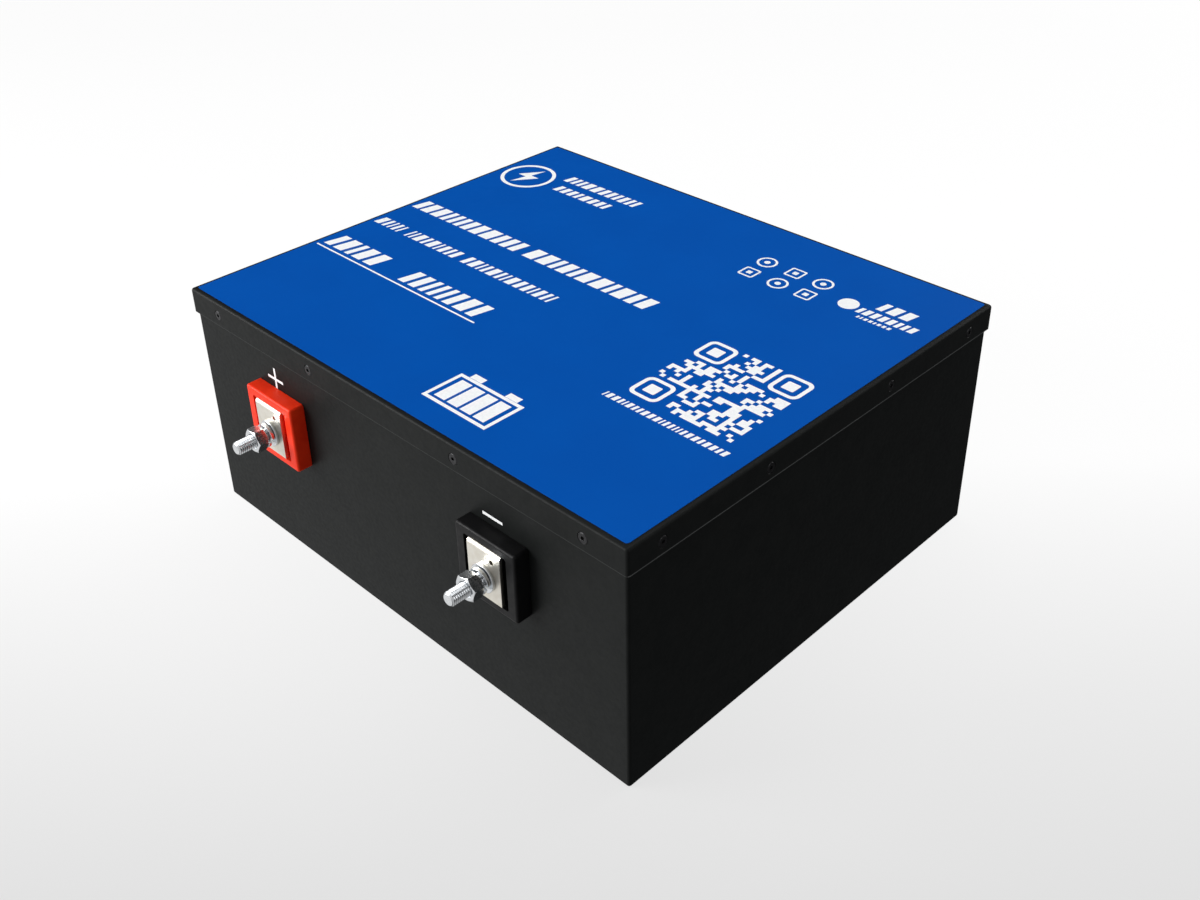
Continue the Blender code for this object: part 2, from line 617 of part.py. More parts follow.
def make_spring_washer(side, frame):
    """One open turn of square wire, its ends sprung apart to the free height."""
    outer = SPRING_DIAMETER / 2
    inner = STUD_DIAMETER / 2 + FIT
    steps = 30
    rise = SPRING_FREE_HEIGHT - SPRING_THICKNESS
    low = SPRING_START
    high = SPRING_START + SPRING_THICKNESS
    shape = bmesh.new()
    corners = [shape.verts.new(point) for point in
               ((inner, 0, low), (outer, 0, low), (outer, 0, high), (inner, 0, high))]
    section = shape.faces.new(corners)
    bmesh.ops.spin(shape, geom=[section], cent=(0, 0, 0), axis=(0, 0, 1), dvec=(0, 0, rise / steps),
                   angle=SPRING_SWEEP, steps=steps, use_duplicate=False)
    bmesh.ops.recalc_face_normals(shape, faces=shape.faces)
    name = f"{side}_spring_washer"
    return place(name, to_mesh(shape, name), ZINC, parent=frame)


def make_nut(side, frame, turn):
    """Hex nut: a hexagonal bar with its corners turned off at both ends, then bored."""
    corner = NUT_ACROSS_FLATS / math.sqrt(3)
    shoulder = NUT_ACROSS_FLATS / 2 * 0.96
    chamfer = (corner - shoulder) * math.tan(NUT_CHAMFER_ANGLE)
    end = NUT_START + NUT_THICKNESS
    inner = STUD_DIAMETER / 2 + FIT
    blank = [(shoulder, 0, end), (corner + EASE, 0, end - chamfer - EASE * math.tan(NUT_CHAMFER_ANGLE)),
             (corner + EASE, 0, NUT_START + chamfer + EASE * math.tan(NUT_CHAMFER_ANGLE)),
             (shoulder, 0, NUT_START), (inner, 0, NUT_START), (inner, 0, end)]
    name = f"{side}_hex_nut"
    nut = place(name, hexagon_mesh(name, NUT_ACROSS_FLATS, NUT_THICKNESS, NUT_START), ZINC,
                turn=(0, 0, turn), parent=frame)
    turned = place("nut_blank", line_mesh("nut_blank", blank, closed=True), parent=frame)
    return combine(nut, turn_profile(turned, steps=36), "INTERSECT")


def make_terminal(side, x, plastic, nut_turn):
    frame = terminal_frame(f"{side}_terminal", x)
    make_block(side, frame, plastic)
    make_plate(side, frame)
    make_stud(side, frame)
    make_washer(side, frame)
    make_spring_washer(side, frame)
    make_nut(side, frame, nut_turn)


# ---- Cells, pads and straps -----------------------------------------------------------

def cell_x(number):
    return (number - (CELL_COUNT - 1) / 2) * CELL_PITCH


def make_cells():
    """Prismatic cells with both posts on the front; every second pair lies upside down."""
    body = box_mesh("cell", (CELL_THICKNESS, CELL_BODY, CELL_WIDTH))
    post = round_mesh("cell_post", POST_DIAMETER / 2, POST_HEIGHT + EASE, sides=20, base=-EASE)
    for number in range(CELL_COUNT):
        flipped = (number // 2) % 2 == 1
        cell = place(f"cell_{number + 1}", body, CELL_WRAP, at=(cell_x(number), CELL_Y, CELL_Z),
                     turn=(0, math.pi if flipped else 0, 0))
        soften(cell, CELL_ROUNDING, segments=2)
        for height in (CELL_Z - POST_OFFSET, CELL_Z + POST_OFFSET):
            join(cell, place("cell_post", post, at=(cell_x(number), CELL_FRONT, height),
                             turn=(RIGHT_ANGLE, 0, 0)))


def strap_places():
    return (CELL_FRONT + STRAP_INSET, CELL_BACK - STRAP_INSET)


def make_straps():
    """Two woven bands, each drawn tight round the row of cells."""
    half_x = ROW_LENGTH / 2 + FIT
    half_z = CELL_WIDTH / 2 + FIT
    corner = STRAP_CORNER
    loop = []
    for sign_x, sign_z, start in ((1, 1, 0), (-1, 1, 90), (-1, -1, 180), (1, -1, 270)):
        centre = (sign_x * (half_x - corner), sign_z * (half_z - corner))
        loop += arc(centre, corner, start, start + 90, 4)
    points = [(x, 0, z) for x, z in loop]
    mesh = strip_mesh("pack_strap", points, STRAP_WIDTH, (0, 1, 0), closed=True)
    for name, y in zip(("front_pack_strap", "back_pack_strap"), strap_places()):
        strap = place(name, mesh, STRAPPING, at=(0, y, CELL_Z))
        smooth(thicken(strap, STRAP_THICKNESS, 1))


def strap_grooves():
    """Room for the straps in the four pads that lie against the cells."""
    reach = 2 * (STRAP_THICKNESS + 2 * FIT)
    size = (ROW_LENGTH + reach, STRAP_WIDTH + 2 * FIT, CELL_WIDTH + reach)
    mesh = box_mesh("strap_groove", size)
    return [place("strap_groove", mesh, at=(0, y, CELL_Z)) for y in strap_places()]


def make_pads():
    """Foam round the cells: under them, on top of them and at both ends of the row."""
    half_row = ROW_LENGTH / 2
    under_lid = CASE_HEIGHT - SHEET - FIT
    pads = [
        span_box("bottom_pad", (-half_row, CELL_FRONT, SHEET + FIT),
                 (half_row, CELL_BACK, CELL_BOTTOM - FIT), FOAM),
        span_box("top_pad", (-half_row, CELL_FRONT, CELL_TOP + FIT),
                 (half_row, CELL_BACK - TOP_PAD_SHORTFALL, under_lid), FOAM),
    ]
    for name, side in (("left_end_pad", -1), ("right_end_pad", 1)):
        ends = sorted((side * (half_row + FIT), side * (SIDE_INSIDE - FIT)))
        pads.append(span_box(name, (ends[0], CELL_FRONT, SHEET + FIT),
                             (ends[1], CELL_BACK, CELL_TOP), FOAM))
    grooves = strap_grooves()
    for pad in pads:
        cut(pad, *grooves)


def make_cell_stop():
    """Steel angle on the tray's floor that keeps the row of cells from sliding forwards."""
    back = BOARD_FRONT - FIT
    floor = SHEET + FIT
    points = [(0, back, floor + STOP_LEG), (0, back, floor), (0, back - STOP_LEG, floor)]
    mesh = strip_mesh("cell_stop", points, ROW_LENGTH, (1, 0, 0))
    thicken(place("cell_stop", mesh, STEEL_PLATED), STOP_THICKNESS, -1)


# ---- Busbars and the insulating board in front of them --------------------------------
# Post rows: the upper row at +1 and the lower row at -1.

LINKS = (
    # name, first cell, last cell, row
    ("positive_busbar", 0, 1, 1),
    ("series_link_1", 0, 3, -1),
    ("series_link_2", 2, 5, 1),
    ("series_link_3", 4, 7, -1),
    ("negative_busbar", 6, 7, 1),
)
TAGGED = ("positive_busbar", "negative_busbar")


def busbar_end(last):
    return cell_x(last) + BUSBAR_MARGIN


def make_busbars():
    """Aluminium links welded to the posts; the end ones have a tag folded to the front."""
    for name, first, last, row in LINKS:
        left = cell_x(first) - BUSBAR_MARGIN
        right = busbar_end(last)
        points = [(left, BUSBAR_BACK, 0)]
        if name in TAGGED:
            bend = arc((right - BUSBAR_FOLD, BUSBAR_BACK - BUSBAR_FOLD), BUSBAR_FOLD, 90, 0, 4)
            points += [(x, y, 0) for x, y in bend]
            points.append((right, TAG_END, 0))
        else:
            points.append((right, BUSBAR_BACK, 0))
        mesh = strip_mesh(name, points, BUSBAR_WIDTH, (0, 0, 1))
        busbar = place(name, mesh, ALUMINIUM, at=(0, 0, CELL_Z + row * POST_OFFSET))
        smooth(thicken(busbar, BUSBAR_THICKNESS, -1))


def sense_points():
    """Where each sensing wire meets its busbar, as pairs of x and height."""
    points = []
    for _, first, last, row in LINKS:
        points.append(((cell_x(first) + cell_x(last)) / 2, CELL_Z + row * POST_OFFSET))
    return points


SENSOR_X = cell_x(CELL_COUNT // 2 - 1)
SENSOR_Z = CELL_Z - SENSOR_DROP


def make_insulating_board():
    """Glass-fibre board over the busbars, slotted for the tags and drilled for the leads."""
    half = ROW_LENGTH / 2
    board = span_box("insulating_board", (-half, BOARD_FRONT, SHEET + FIT), (half, BOARD_BACK, CELL_TOP),
                     GLASS_BOARD)
    through = BOARD_THICKNESS + 2 * FIT
    middle = (BOARD_FRONT + BOARD_BACK) / 2
    slot = box_mesh("tag_slot", (BUSBAR_THICKNESS + 2 * FIT, through, BUSBAR_WIDTH + 2 * FIT))
    for name, _, last, row in LINKS:
        if name in TAGGED:
            at = (busbar_end(last) - BUSBAR_THICKNESS / 2, middle, CELL_Z + row * POST_OFFSET)
            cut(board, place("tag_slot", slot, at=at))
    hole = round_mesh("lead_hole", SENSE_WIRE / 2 + FIT, through, sides=12, base=-through / 2)
    for x, z in sense_points() + [(SENSOR_X, SENSOR_Z)]:
        cut(board, place("lead_hole", hole, at=(x, middle, z), turn=(RIGHT_ANGLE, 0, 0)))


# ---- Protection board -----------------------------------------------------------------

def make_heat_sink():
    """Aluminium tray on the case's floor, with four pillars that carry the board."""
    half_x = SINK_LENGTH / 2
    half_y = SINK_DEPTH / 2
    sink = span_box("bms_heat_sink", (SINK_X - half_x, SINK_Y - half_y, SINK_BOTTOM),
                    (SINK_X + half_x, SINK_Y + half_y, SINK_BOTTOM + SINK_HEIGHT), ALUMINIUM)
    inside = span_box("sink_inside",
                      (SINK_X - half_x + SINK_WALL, SINK_Y - half_y + SINK_WALL,
                       SINK_BOTTOM + SINK_FLOOR),
                      (SINK_X + half_x - SINK_WALL, SINK_Y + half_y - SINK_WALL,
                       SINK_BOTTOM + SINK_HEIGHT + EASE))
    cut(sink, inside)
    pillar = round_mesh("sink_pillar", PILLAR_DIAMETER / 2, PILLAR_HEIGHT + EASE, sides=16, base=-EASE)
    inset = SINK_WALL + PILLAR_DIAMETER
    for x in (SINK_X - half_x + inset, SINK_X + half_x - inset):
        for y in (SINK_Y - half_y + inset, SINK_Y + half_y - inset):
            join(sink, place("sink_pillar", pillar, at=(x, y, SINK_BOTTOM + SINK_FLOOR)))


def on_board(name, size, x, y):
    """A component that stands on the board, sunk a little into it so that the two join."""
    width, depth, height = size
    return span_box(name, (x - width / 2, y - depth / 2, PCB_TOP - PCB_THICKNESS / 2),
                    (x + width / 2, y + depth / 2, PCB_TOP + height))


def make_protection_board():
    half_x = SINK_LENGTH / 2 - SINK_WALL - FIT
    half_y = SINK_DEPTH / 2 - SINK_WALL - FIT
    board = span_box("bms_board", (SINK_X - half_x, SINK_Y - half_y, PCB_BOTTOM),
                     (SINK_X + half_x, SINK_Y + half_y, PCB_TOP), CIRCUIT_GREEN)
    parts = [on_board("cell_header", HEADER_SIZE, HEADER_X, HEADER_Y),
             on_board("sensor_header", SMALL_HEADER_SIZE, SENSOR_HEADER_X, HEADER_Y),
             on_board("radio_header", SMALL_HEADER_SIZE, RADIO_HEADER_X, HEADER_Y),
             on_board("pack_post", POST_BLOCK, *PACK_POST),
             on_board("load_post", POST_BLOCK, *LOAD_POST)]
    for column in range(TRANSISTOR_COUNT):
        x = SINK_X + TRANSISTOR_START + column * TRANSISTOR_PITCH
        y = SINK_Y - half_y + TRANSISTOR_EDGE
        parts.append(on_board("transistor", TRANSISTOR_SIZE, x, y))
    for x, y in SHUNT_PLACES:
        parts.append(on_board("shunt", SHUNT_SIZE, SINK_X + x, SINK_Y + y))
    x, y = CONTROLLER_PLACE
    parts.append(on_board("controller", CONTROLLER_SIZE, SINK_X + x, SINK_Y + y))
    join(board, *parts)
    capacitor = round_mesh("capacitor", CAPACITOR_DIAMETER / 2, CAPACITOR_HEIGHT, sides=16,
                           base=-PCB_THICKNESS / 2)
    for x, y in CAPACITOR_PLACES:
        join(board, place("capacitor", capacitor, at=(SINK_X + x, SINK_Y + y, PCB_TOP)))


def make_wireless_module():
    """Small radio board with a shielding can, stuck to the front wall, and its lead."""
    width, thickness, height = MODULE_SIZE
    back = FRONT_INSIDE + FIT
    module = span_box("wireless_module", (-width / 2, back, STUD_Z - height / 2),
                      (width / 2, back + thickness, STUD_Z + height / 2), CIRCUIT_GREEN)
    can = span_box("shield_can", (-width / 4, back + thickness / 2, STUD_Z - height / 4),
                   (width / 8, back + thickness + SHIELD_HEIGHT, STUD_Z + height / 3))
    housing, top = plug("radio_plug", SMALL_HEADER_SIZE, RADIO_HEADER_X)
    edge = Vector((-width / 4, back + thickness / 2 + FIT, STUD_Z - height / 2))
    fall = bend_route(edge, (0, 0, -1), (RADIO_HEADER_X, HEADER_Y, top), (0, 0, -1))
    points = [edge + Vector((0, 0, EASE)), *fall, (RADIO_HEADER_X, HEADER_Y, top - EASE)]
    join(module, can, place("radio_lead", tube_mesh("radio_lead", points, SENSE_WIRE)), housing)


# ---- Power cables ---------------------------------------------------------------------

def lug(name, tip, along, flat):
    """Crimped lug: a flat tongue from tip, then a barrel. Returns both and the cable's start."""
    tip = Vector(tip)
    along = Vector(along)
    flat = Vector(flat)
    across = along.cross(flat)
    axes = Matrix((across, flat, along)).transposed().to_4x4()
    tongue_length = LUG_LENGTH + EASE
    tongue = box_mesh(name + "_tongue", (LUG_WIDTH, LUG_THICKNESS, tongue_length),
                      (0, 0, tongue_length / 2))
    barrel = round_mesh(name + "_barrel", BARREL_RADIUS, BARREL_LENGTH, sides=20, base=LUG_LENGTH)
    pieces = []
    for part, mesh in (("tongue", tongue), ("barrel", barrel)):
        mesh.transform(Matrix.Translation(tip) @ axes)
        pieces.append(place(f"{name}_{part}", mesh))
    return pieces, tip + along * (LUG_LENGTH + BARREL_LENGTH)


def power_cable(name, material, first, last):
    """A stranded cable between two lugs. first and last give tip, heading and flat side."""
    near, start = lug(name + "_near", *first)
    far, end = lug(name + "_far", *last)
    heading = Vector(first[1])
    arrival = -Vector(last[1])
    tuck = BARREL_LENGTH / 2
    points = [start - heading * tuck, *bend_route(start, heading, end, arrival), end + arrival * tuck]
    cable = place(name, tube_mesh(name, points, CABLE_DIAMETER, resolution=3), material)
    join(cable, *near, *far)
    return smooth(cable)


def tag_face(last, side):
    """Lug plane beside a busbar's tag: on its right for side 1, on its left for -1."""
    right = busbar_end(last)
    offset = FIT + LUG_THICKNESS / 2
    return right + offset if side > 0 else right - BUSBAR_THICKNESS - offset


def make_power_cables():
    forwards = (0, -1, 0)
    backwards = (0, 1, 0)
    up = (0, 0, 1)
    sideways = (1, 0, 0)
    upper_row = CELL_Z + POST_OFFSET
    tail_tip = FRONT + SHEET + FIT + BOSS_DEPTH
    on_tail = PLATE_TOP + FIT + LUG_THICKNESS / 2
    power_cable("positive_cable", RED_CABLE,
                ((tag_face(1, -1), TAG_ROOT, upper_row), forwards, sideways),
                ((POSITIVE_X, tail_tip, on_tail), backwards, up))
    post_top = PCB_TOP + POST_BLOCK[2]
    lug_offset = POST_BLOCK[1] / 2 + FIT + LUG_THICKNESS / 2
    on_post = post_top - LUG_LENGTH
    power_cable("pack_negative_cable", BLACK_CABLE,
                ((tag_face(7, 1), TAG_ROOT, upper_row), forwards, sideways),
                ((PACK_POST[0], PACK_POST[1] - lug_offset, on_post), up, forwards))
    power_cable("load_negative_cable", BLACK_CABLE,
                ((NEGATIVE_X, tail_tip, on_tail), backwards, up),
                ((LOAD_POST[0], LOAD_POST[1] - lug_offset, on_post), up, forwards))


# ---- Sensing leads --------------------------------------------------------------------

def plug(name, size, x):
    """Connector housing on its header."""
    width, depth, height = size
    base = PCB_TOP + height + FIT
    return span_box(name, (x - width / 2, HEADER_Y - depth / 2, base),
                    (x + width / 2, HEADER_Y + depth / 2, base + height)), base + height


def make_balance_harness():
    """Loom along the insulating board with one branch to each busbar, and its plug."""
    spots = sense_points()
    bend = BOARD_FRONT - FIT - LOOM_Y
    ends = [(spots[0][0], LOOM_Y, CELL_Z), (spots[-1][0], LOOM_Y, CELL_Z)]
    loom = place("balance_harness", tube_mesh("balance_harness", ends, LOOM_DIAMETER), WIRE_WHITE)
    housing, top = plug("harness_plug", HEADER_SIZE, HEADER_X)
    rise = bend_route((HEADER_X, HEADER_Y, top - EASE), (0, 0, 1),
                      (HEADER_X, LOOM_Y, CELL_Z), (0, 0, 1), 10)
    tail = place("harness_tail", tube_mesh("harness_tail", rise, LOOM_DIAMETER - 2 * FIT))
    join(loom, tail, housing)
    for number, (x, z) in enumerate(spots, start=1):
        way = 1 if z > CELL_Z else -1
        turn = arc((LOOM_Y + bend, z - way * bend), bend, 180, 180 - way * 90, 4)
        points = [(x, LOOM_Y, CELL_Z)] + [(x, y, height) for y, height in turn]
        points.append((x, BUSBAR_FRONT - FIT, z))
        name = f"harness_branch_{number}"
        join(loom, place(name, tube_mesh(name, points, SENSE_WIRE)))
    return loom


def make_temperature_sensor():
    """Bead on the face of a middle cell; its lead comes out through the insulating board."""
    bead_y = CELL_FRONT - FIT - SENSOR_DIAMETER / 2
    body = round_mesh("temperature_sensor", SENSOR_DIAMETER / 2, SENSOR_LENGTH, sides=16,
                      base=-SENSOR_LENGTH / 2)
    sensor = place("temperature_sensor", body, BLACK_PLASTIC, at=(SENSOR_X, bead_y, SENSOR_Z))
    housing, top = plug("sensor_plug", SMALL_HEADER_SIZE, SENSOR_HEADER_X)
    outside = (SENSOR_X, BOARD_FRONT - FIT, SENSOR_Z)
    fall = bend_route(outside, (0, -1, 0), (SENSOR_HEADER_X, HEADER_Y, top), (0, 0, -1))
    points = [(SENSOR_X, bead_y, SENSOR_Z), *fall, (SENSOR_HEADER_X, HEADER_Y, top - EASE)]
    join(sensor, place("sensor_lead", tube_mesh("sensor_lead", points, SENSE_WIRE)), housing)


make_case()
make_label()
make_lid_screws()
make_terminal("positive", POSITIVE_X, RED_PLASTIC, POSITIVE_NUT_TURN)
make_terminal("negative", NEGATIVE_X, BLACK_PLASTIC, NEGATIVE_NUT_TURN)
make_cells()
make_straps()
make_pads()
make_cell_stop()
make_busbars()
make_insulating_board()
make_heat_sink()
make_protection_board()
make_wireless_module()
make_power_cables()
make_balance_harness()
make_temperature_sensor()
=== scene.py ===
import math
import random

import bmesh
import bpy
from mathutils import Matrix, Vector


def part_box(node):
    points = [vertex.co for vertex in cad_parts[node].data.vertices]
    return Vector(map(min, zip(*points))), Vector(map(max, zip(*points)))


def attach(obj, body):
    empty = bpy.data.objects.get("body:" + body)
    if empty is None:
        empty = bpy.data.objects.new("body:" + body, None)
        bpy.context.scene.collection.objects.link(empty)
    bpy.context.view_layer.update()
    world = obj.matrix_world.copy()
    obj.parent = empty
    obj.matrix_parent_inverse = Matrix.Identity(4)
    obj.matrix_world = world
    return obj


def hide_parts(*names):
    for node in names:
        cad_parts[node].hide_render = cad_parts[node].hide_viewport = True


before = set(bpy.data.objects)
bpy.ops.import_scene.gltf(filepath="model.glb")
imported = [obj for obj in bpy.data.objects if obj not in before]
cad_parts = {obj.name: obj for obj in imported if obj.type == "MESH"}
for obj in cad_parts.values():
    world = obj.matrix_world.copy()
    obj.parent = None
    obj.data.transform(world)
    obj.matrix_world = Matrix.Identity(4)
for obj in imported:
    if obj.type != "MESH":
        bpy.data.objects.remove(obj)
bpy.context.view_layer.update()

MM = 0.001


# ---- Tray -------------------------------------------------------------------------------
# The lower part of the case. It is folded up from 1.2 mm steel sheet, its corner seams are
# welded and ground flush, and it is powder-coated a satin charcoal inside and out. Its
# front wall has a window for each terminal and a hole for each lid screw.

def finish(name, colour, roughness, metallic=0.0, specular=0.5):
    """A material in its plain colour and gloss, to which grain is added."""
    material = bpy.data.materials.new(name)
    material.use_nodes = True
    material.diffuse_color = (*colour, 1.0)
    shader = material.node_tree.nodes["Principled BSDF"]
    shader.inputs["Base Color"].default_value = (*colour, 1.0)
    shader.inputs["Roughness"].default_value = roughness
    shader.inputs["Metallic"].default_value = metallic
    shader.inputs["Specular IOR Level"].default_value = specular
    return material


def grain(material, size, detail=2.0, along=(1, 1, 1)):
    """Cloudy noise in the piece's own space, its blotches about as wide as size."""
    nodes = material.node_tree.nodes
    links = material.node_tree.links
    space = nodes.new("ShaderNodeTexCoord")
    stretch = nodes.new("ShaderNodeMapping")
    stretch.inputs["Scale"].default_value = along
    noise = nodes.new("ShaderNodeTexNoise")
    noise.inputs["Scale"].default_value = 1 / size
    noise.inputs["Detail"].default_value = detail
    links.new(space.outputs["Object"], stretch.inputs["Vector"])
    links.new(stretch.outputs["Vector"], noise.inputs["Vector"])
    return noise.outputs["Fac"]


def tint(material, amount, dark, light, start=0.35, end=0.65):
    """Colour that runs from dark to light with amount."""
    ramp = material.node_tree.nodes.new("ShaderNodeValToRGB")
    ramp.color_ramp.elements[0].position = start
    ramp.color_ramp.elements[0].color = (*dark, 1.0)
    ramp.color_ramp.elements[1].position = end
    ramp.color_ramp.elements[1].color = (*light, 1.0)
    material.node_tree.links.new(amount, ramp.inputs["Fac"])
    shader = material.node_tree.nodes["Principled BSDF"]
    material.node_tree.links.new(ramp.outputs["Color"], shader.inputs["Base Color"])


def gloss(material, amount, low, high):
    """Roughness that runs from low to high with amount."""
    scale = material.node_tree.nodes.new("ShaderNodeMapRange")
    scale.inputs["From Min"].default_value = 0.3
    scale.inputs["From Max"].default_value = 0.7
    scale.inputs["To Min"].default_value = low
    scale.inputs["To Max"].default_value = high
    material.node_tree.links.new(amount, scale.inputs["Value"])
    shader = material.node_tree.nodes["Principled BSDF"]
    material.node_tree.links.new(scale.outputs["Result"], shader.inputs["Roughness"])


def relief(material, amount, depth, strength=1.0):
    """Fine bumps of that depth. A second call lays its bumps over the first."""
    links = material.node_tree.links
    normal = material.node_tree.nodes["Principled BSDF"].inputs["Normal"]
    bump = material.node_tree.nodes.new("ShaderNodeBump")
    bump.inputs["Distance"].default_value = depth
    bump.inputs["Strength"].default_value = strength
    links.new(amount, bump.inputs["Height"])
    if normal.is_linked:
        links.new(normal.links[0].from_socket, bump.inputs["Normal"])
    links.new(bump.outputs["Normal"], normal)


def to_mesh(shape, name):
    mesh = bpy.data.meshes.new(name)
    shape.to_mesh(mesh)
    shape.free()
    return mesh


def box_shape(low, high):
    """A bmesh box from its lowest to its highest corner."""
    low = Vector(low)
    high = Vector(high)
    shape = bmesh.new()
    bmesh.ops.create_cube(shape, size=1.0)
    bmesh.ops.scale(shape, vec=high - low, verts=shape.verts)
    bmesh.ops.translate(shape, vec=(low + high) / 2, verts=shape.verts)
    return shape


def round_edges(shape, radius, segments, wanted=lambda edge: True):
    edges = [edge for edge in shape.edges if wanted(edge)]
    bmesh.ops.bevel(shape, geom=edges, offset=radius, segments=segments, profile=0.5,
                    affect="EDGES")
    return shape


def draft(name, mesh):
    """An object to work on, that isn't a piece yet."""
    item = bpy.data.objects.new(name, mesh)
    bpy.context.scene.collection.objects.link(item)
    return item


def combine(item, tool, operation):
    """Cuts, joins or intersects a draft with another, at once."""
    boolean = item.modifiers.new("boolean", "BOOLEAN")
    boolean.operation = operation
    boolean.solver = "EXACT"
    boolean.object = tool
    work_in(item)
    bpy.data.objects.remove(tool)
    return item


def work_in(item):
    """Works an object's modifiers into its mesh."""
    bpy.context.view_layer.update()
    seen = item.evaluated_get(bpy.context.evaluated_depsgraph_get())
    mesh = bpy.data.meshes.new_from_object(seen)
    item.modifiers.clear()
    item.data = mesh
    return item


def shade(item, angle=30):
    """Smooth shading that stays crisp where faces meet at more than the angle."""
    item.data.shade_smooth()
    item.data.set_sharp_from_angle(angle=math.radians(angle))
    level = item.modifiers.new("even_normals", "WEIGHTED_NORMAL")
    level.keep_sharp = True
    return item


def fit_in(item, material, slot, *nodes, body="battery"):
    """Makes a draft a piece: its finish, the body it rides on and the solids it stands for."""
    item.data.materials.clear()
    item.data.materials.append(material)
    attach(item, body)
    if nodes:
        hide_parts(*nodes)
    return item


SHEET = 1.2 * MM
BEND_RADIUS = 1.8 * MM
SCREW_COUNT = 16
SCREW_HEAD_RADIUS = 3.0 * MM
SCREW_SHANK_RADIUS = 1.5 * MM
SCREW_HOLE = 7.0 * MM               # how deep its hole goes behind its face
SIDES = ("positive", "negative")
WINDOW = (34.0 * MM, 35.6 * MM)
FIT = 0.3 * MM                      # gap between pieces that touch

powder_coat = finish("charcoal_powder_coat", (0.0080, 0.0090, 0.0088), 0.46, specular=0.086)
tint(powder_coat, grain(powder_coat, 9.0 * MM, 4.0), (0.0072, 0.0082, 0.0080),
     (0.0090, 0.0100, 0.0097))
gloss(powder_coat, grain(powder_coat, 2.5 * MM, 3.0), 0.42, 0.52)
relief(powder_coat, grain(powder_coat, 0.55 * MM, 2.0), 0.05 * MM, 0.35)
relief(powder_coat, grain(powder_coat, 6.0 * MM, 1.0), 0.05 * MM, 0.25)


def folded_pan(name, low, high, open_top):
    """A sheet folded into a pan with five sides, open at its top or at its underside."""
    shape = box_shape(low, high)
    way = 1 if open_top else -1
    missing = [face for face in shape.faces if face.normal.z * way > 0.5]
    bmesh.ops.delete(shape, geom=missing, context="FACES")
    round_edges(shape, BEND_RADIUS, 7, lambda edge: not edge.is_boundary)
    pan = draft(name, to_mesh(shape, name))
    sheet = pan.modifiers.new("sheet", "SOLIDIFY")
    sheet.thickness = SHEET
    sheet.offset = -1
    sheet.use_even_offset = True
    return work_in(pan)


def screw_place(number):
    """The middle of a lid screw's face, with the direction that its head looks in."""
    low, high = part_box(f"lid_screw_{number:02d}")
    axis = 1 if number <= SCREW_COUNT // 2 else 0
    way = 1 if (number % 2 == 0) == (axis == 1) else -1
    spot = (low + high) / 2
    spot[axis] = high[axis] if way > 0 else low[axis]
    out = Vector((0, 0, 0))
    out[axis] = way
    return spot, out


def turned(name, outline, steps):
    """A profile, given as pairs of radius and height, turned about local Z."""
    shape = bmesh.new()
    corners = [shape.verts.new((radius, 0, height)) for radius, height in outline]
    for first, second in zip(corners, corners[1:]):
        shape.edges.new((first, second))
    bmesh.ops.spin(shape, geom=shape.verts[:] + shape.edges[:], cent=(0, 0, 0), axis=(0, 0, 1),
                   angle=2 * math.pi, steps=steps, use_duplicate=False, use_merge=True)
    bmesh.ops.remove_doubles(shape, verts=shape.verts, dist=0.0005 * MM)
    bmesh.ops.recalc_face_normals(shape, faces=shape.faces)
    return to_mesh(shape, name)


def drill(pan):
    """The countersunk holes for the lid screws."""
    mouth = SCREW_HEAD_RADIUS + FIT
    waist = SCREW_SHANK_RADIUS + FIT
    profile = turned("screw_hole", [(0, MM), (mouth, MM), (mouth, 0), (waist, waist - mouth),
                                    (waist, -SCREW_HOLE), (0, -SCREW_HOLE)], 24)
    tools = bmesh.new()
    for number in range(1, SCREW_COUNT + 1):
        spot, out = screw_place(number)
        tool = profile.copy()
        tool.transform(Matrix.Translation(spot) @ out.to_track_quat("Z", "Y").to_matrix().to_4x4())
        tools.from_mesh(tool)
    return combine(pan, draft("screw_holes", to_mesh(tools, "screw_holes")), "DIFFERENCE")


tray_low, tray_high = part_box("tray")
WALL = tray_low.y                    # outer face of the tray's front wall
tray = folded_pan("tray_sheet", tray_low, tray_high, True)
drill(tray)
for side in SIDES:
    low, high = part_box(f"{side}_terminal_block")
    middle = (low + high) / 2
    half = Vector((WINDOW[0] / 2, 3 * SHEET, WINDOW[1] / 2))
    centre = Vector((middle.x, WALL, middle.z))
    window = draft("window", to_mesh(box_shape(centre - half, centre + half), "window"))
    combine(tray, window, "DIFFERENCE")
shade(fit_in(tray, powder_coat, "case_paint", "tray"))


# ---- Terminal blocks --------------------------------------------------------------------
# Each block is one moulding, red for the positive side and black for the negative one. It
# snaps into its window with a boss and two hooks. The recess in its face has a saddle in
# the middle, over which the contact plate is folded, with a hex pocket for the stud's head.

STUD_Z = 88.8 * MM
STUD_X = {}
for side in SIDES:
    low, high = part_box(f"{side}_hex_nut")
    STUD_X[side] = (low.x + high.x) / 2

BLOCK = (43.0 * MM, 41.5 * MM, 9.5 * MM)
BLOCK_UP = 2.2 * MM                 # block's middle above the stud's axis
PLATE_UP = 2.65 * MM
PLATE = (23.5 * MM, 30.5 * MM, 2.0 * MM)
PLATE_FRONT = 10.5 * MM             # wall to the plate's front face
BLOCK_CORNER = 1.6 * MM
HEAD = (13.0 * MM, 3.4 * MM)        # stud's head, across its flats and thick
RECESS = (30.5 * MM, 32.0 * MM, 5.5 * MM)
RECESS_CORNER = 1.2 * MM
BOSS_BACK = -5.7 * MM
BOSS_CORNER = 1.0 * MM
HOOKS = (2.8 * MM, 16.0 * MM)       # how much wider than the window, and how high
SADDLE_INSET = 1.5 * MM             # how far the saddle stays inside the plate's outline
SADDLE_CORNER = 0.8 * MM

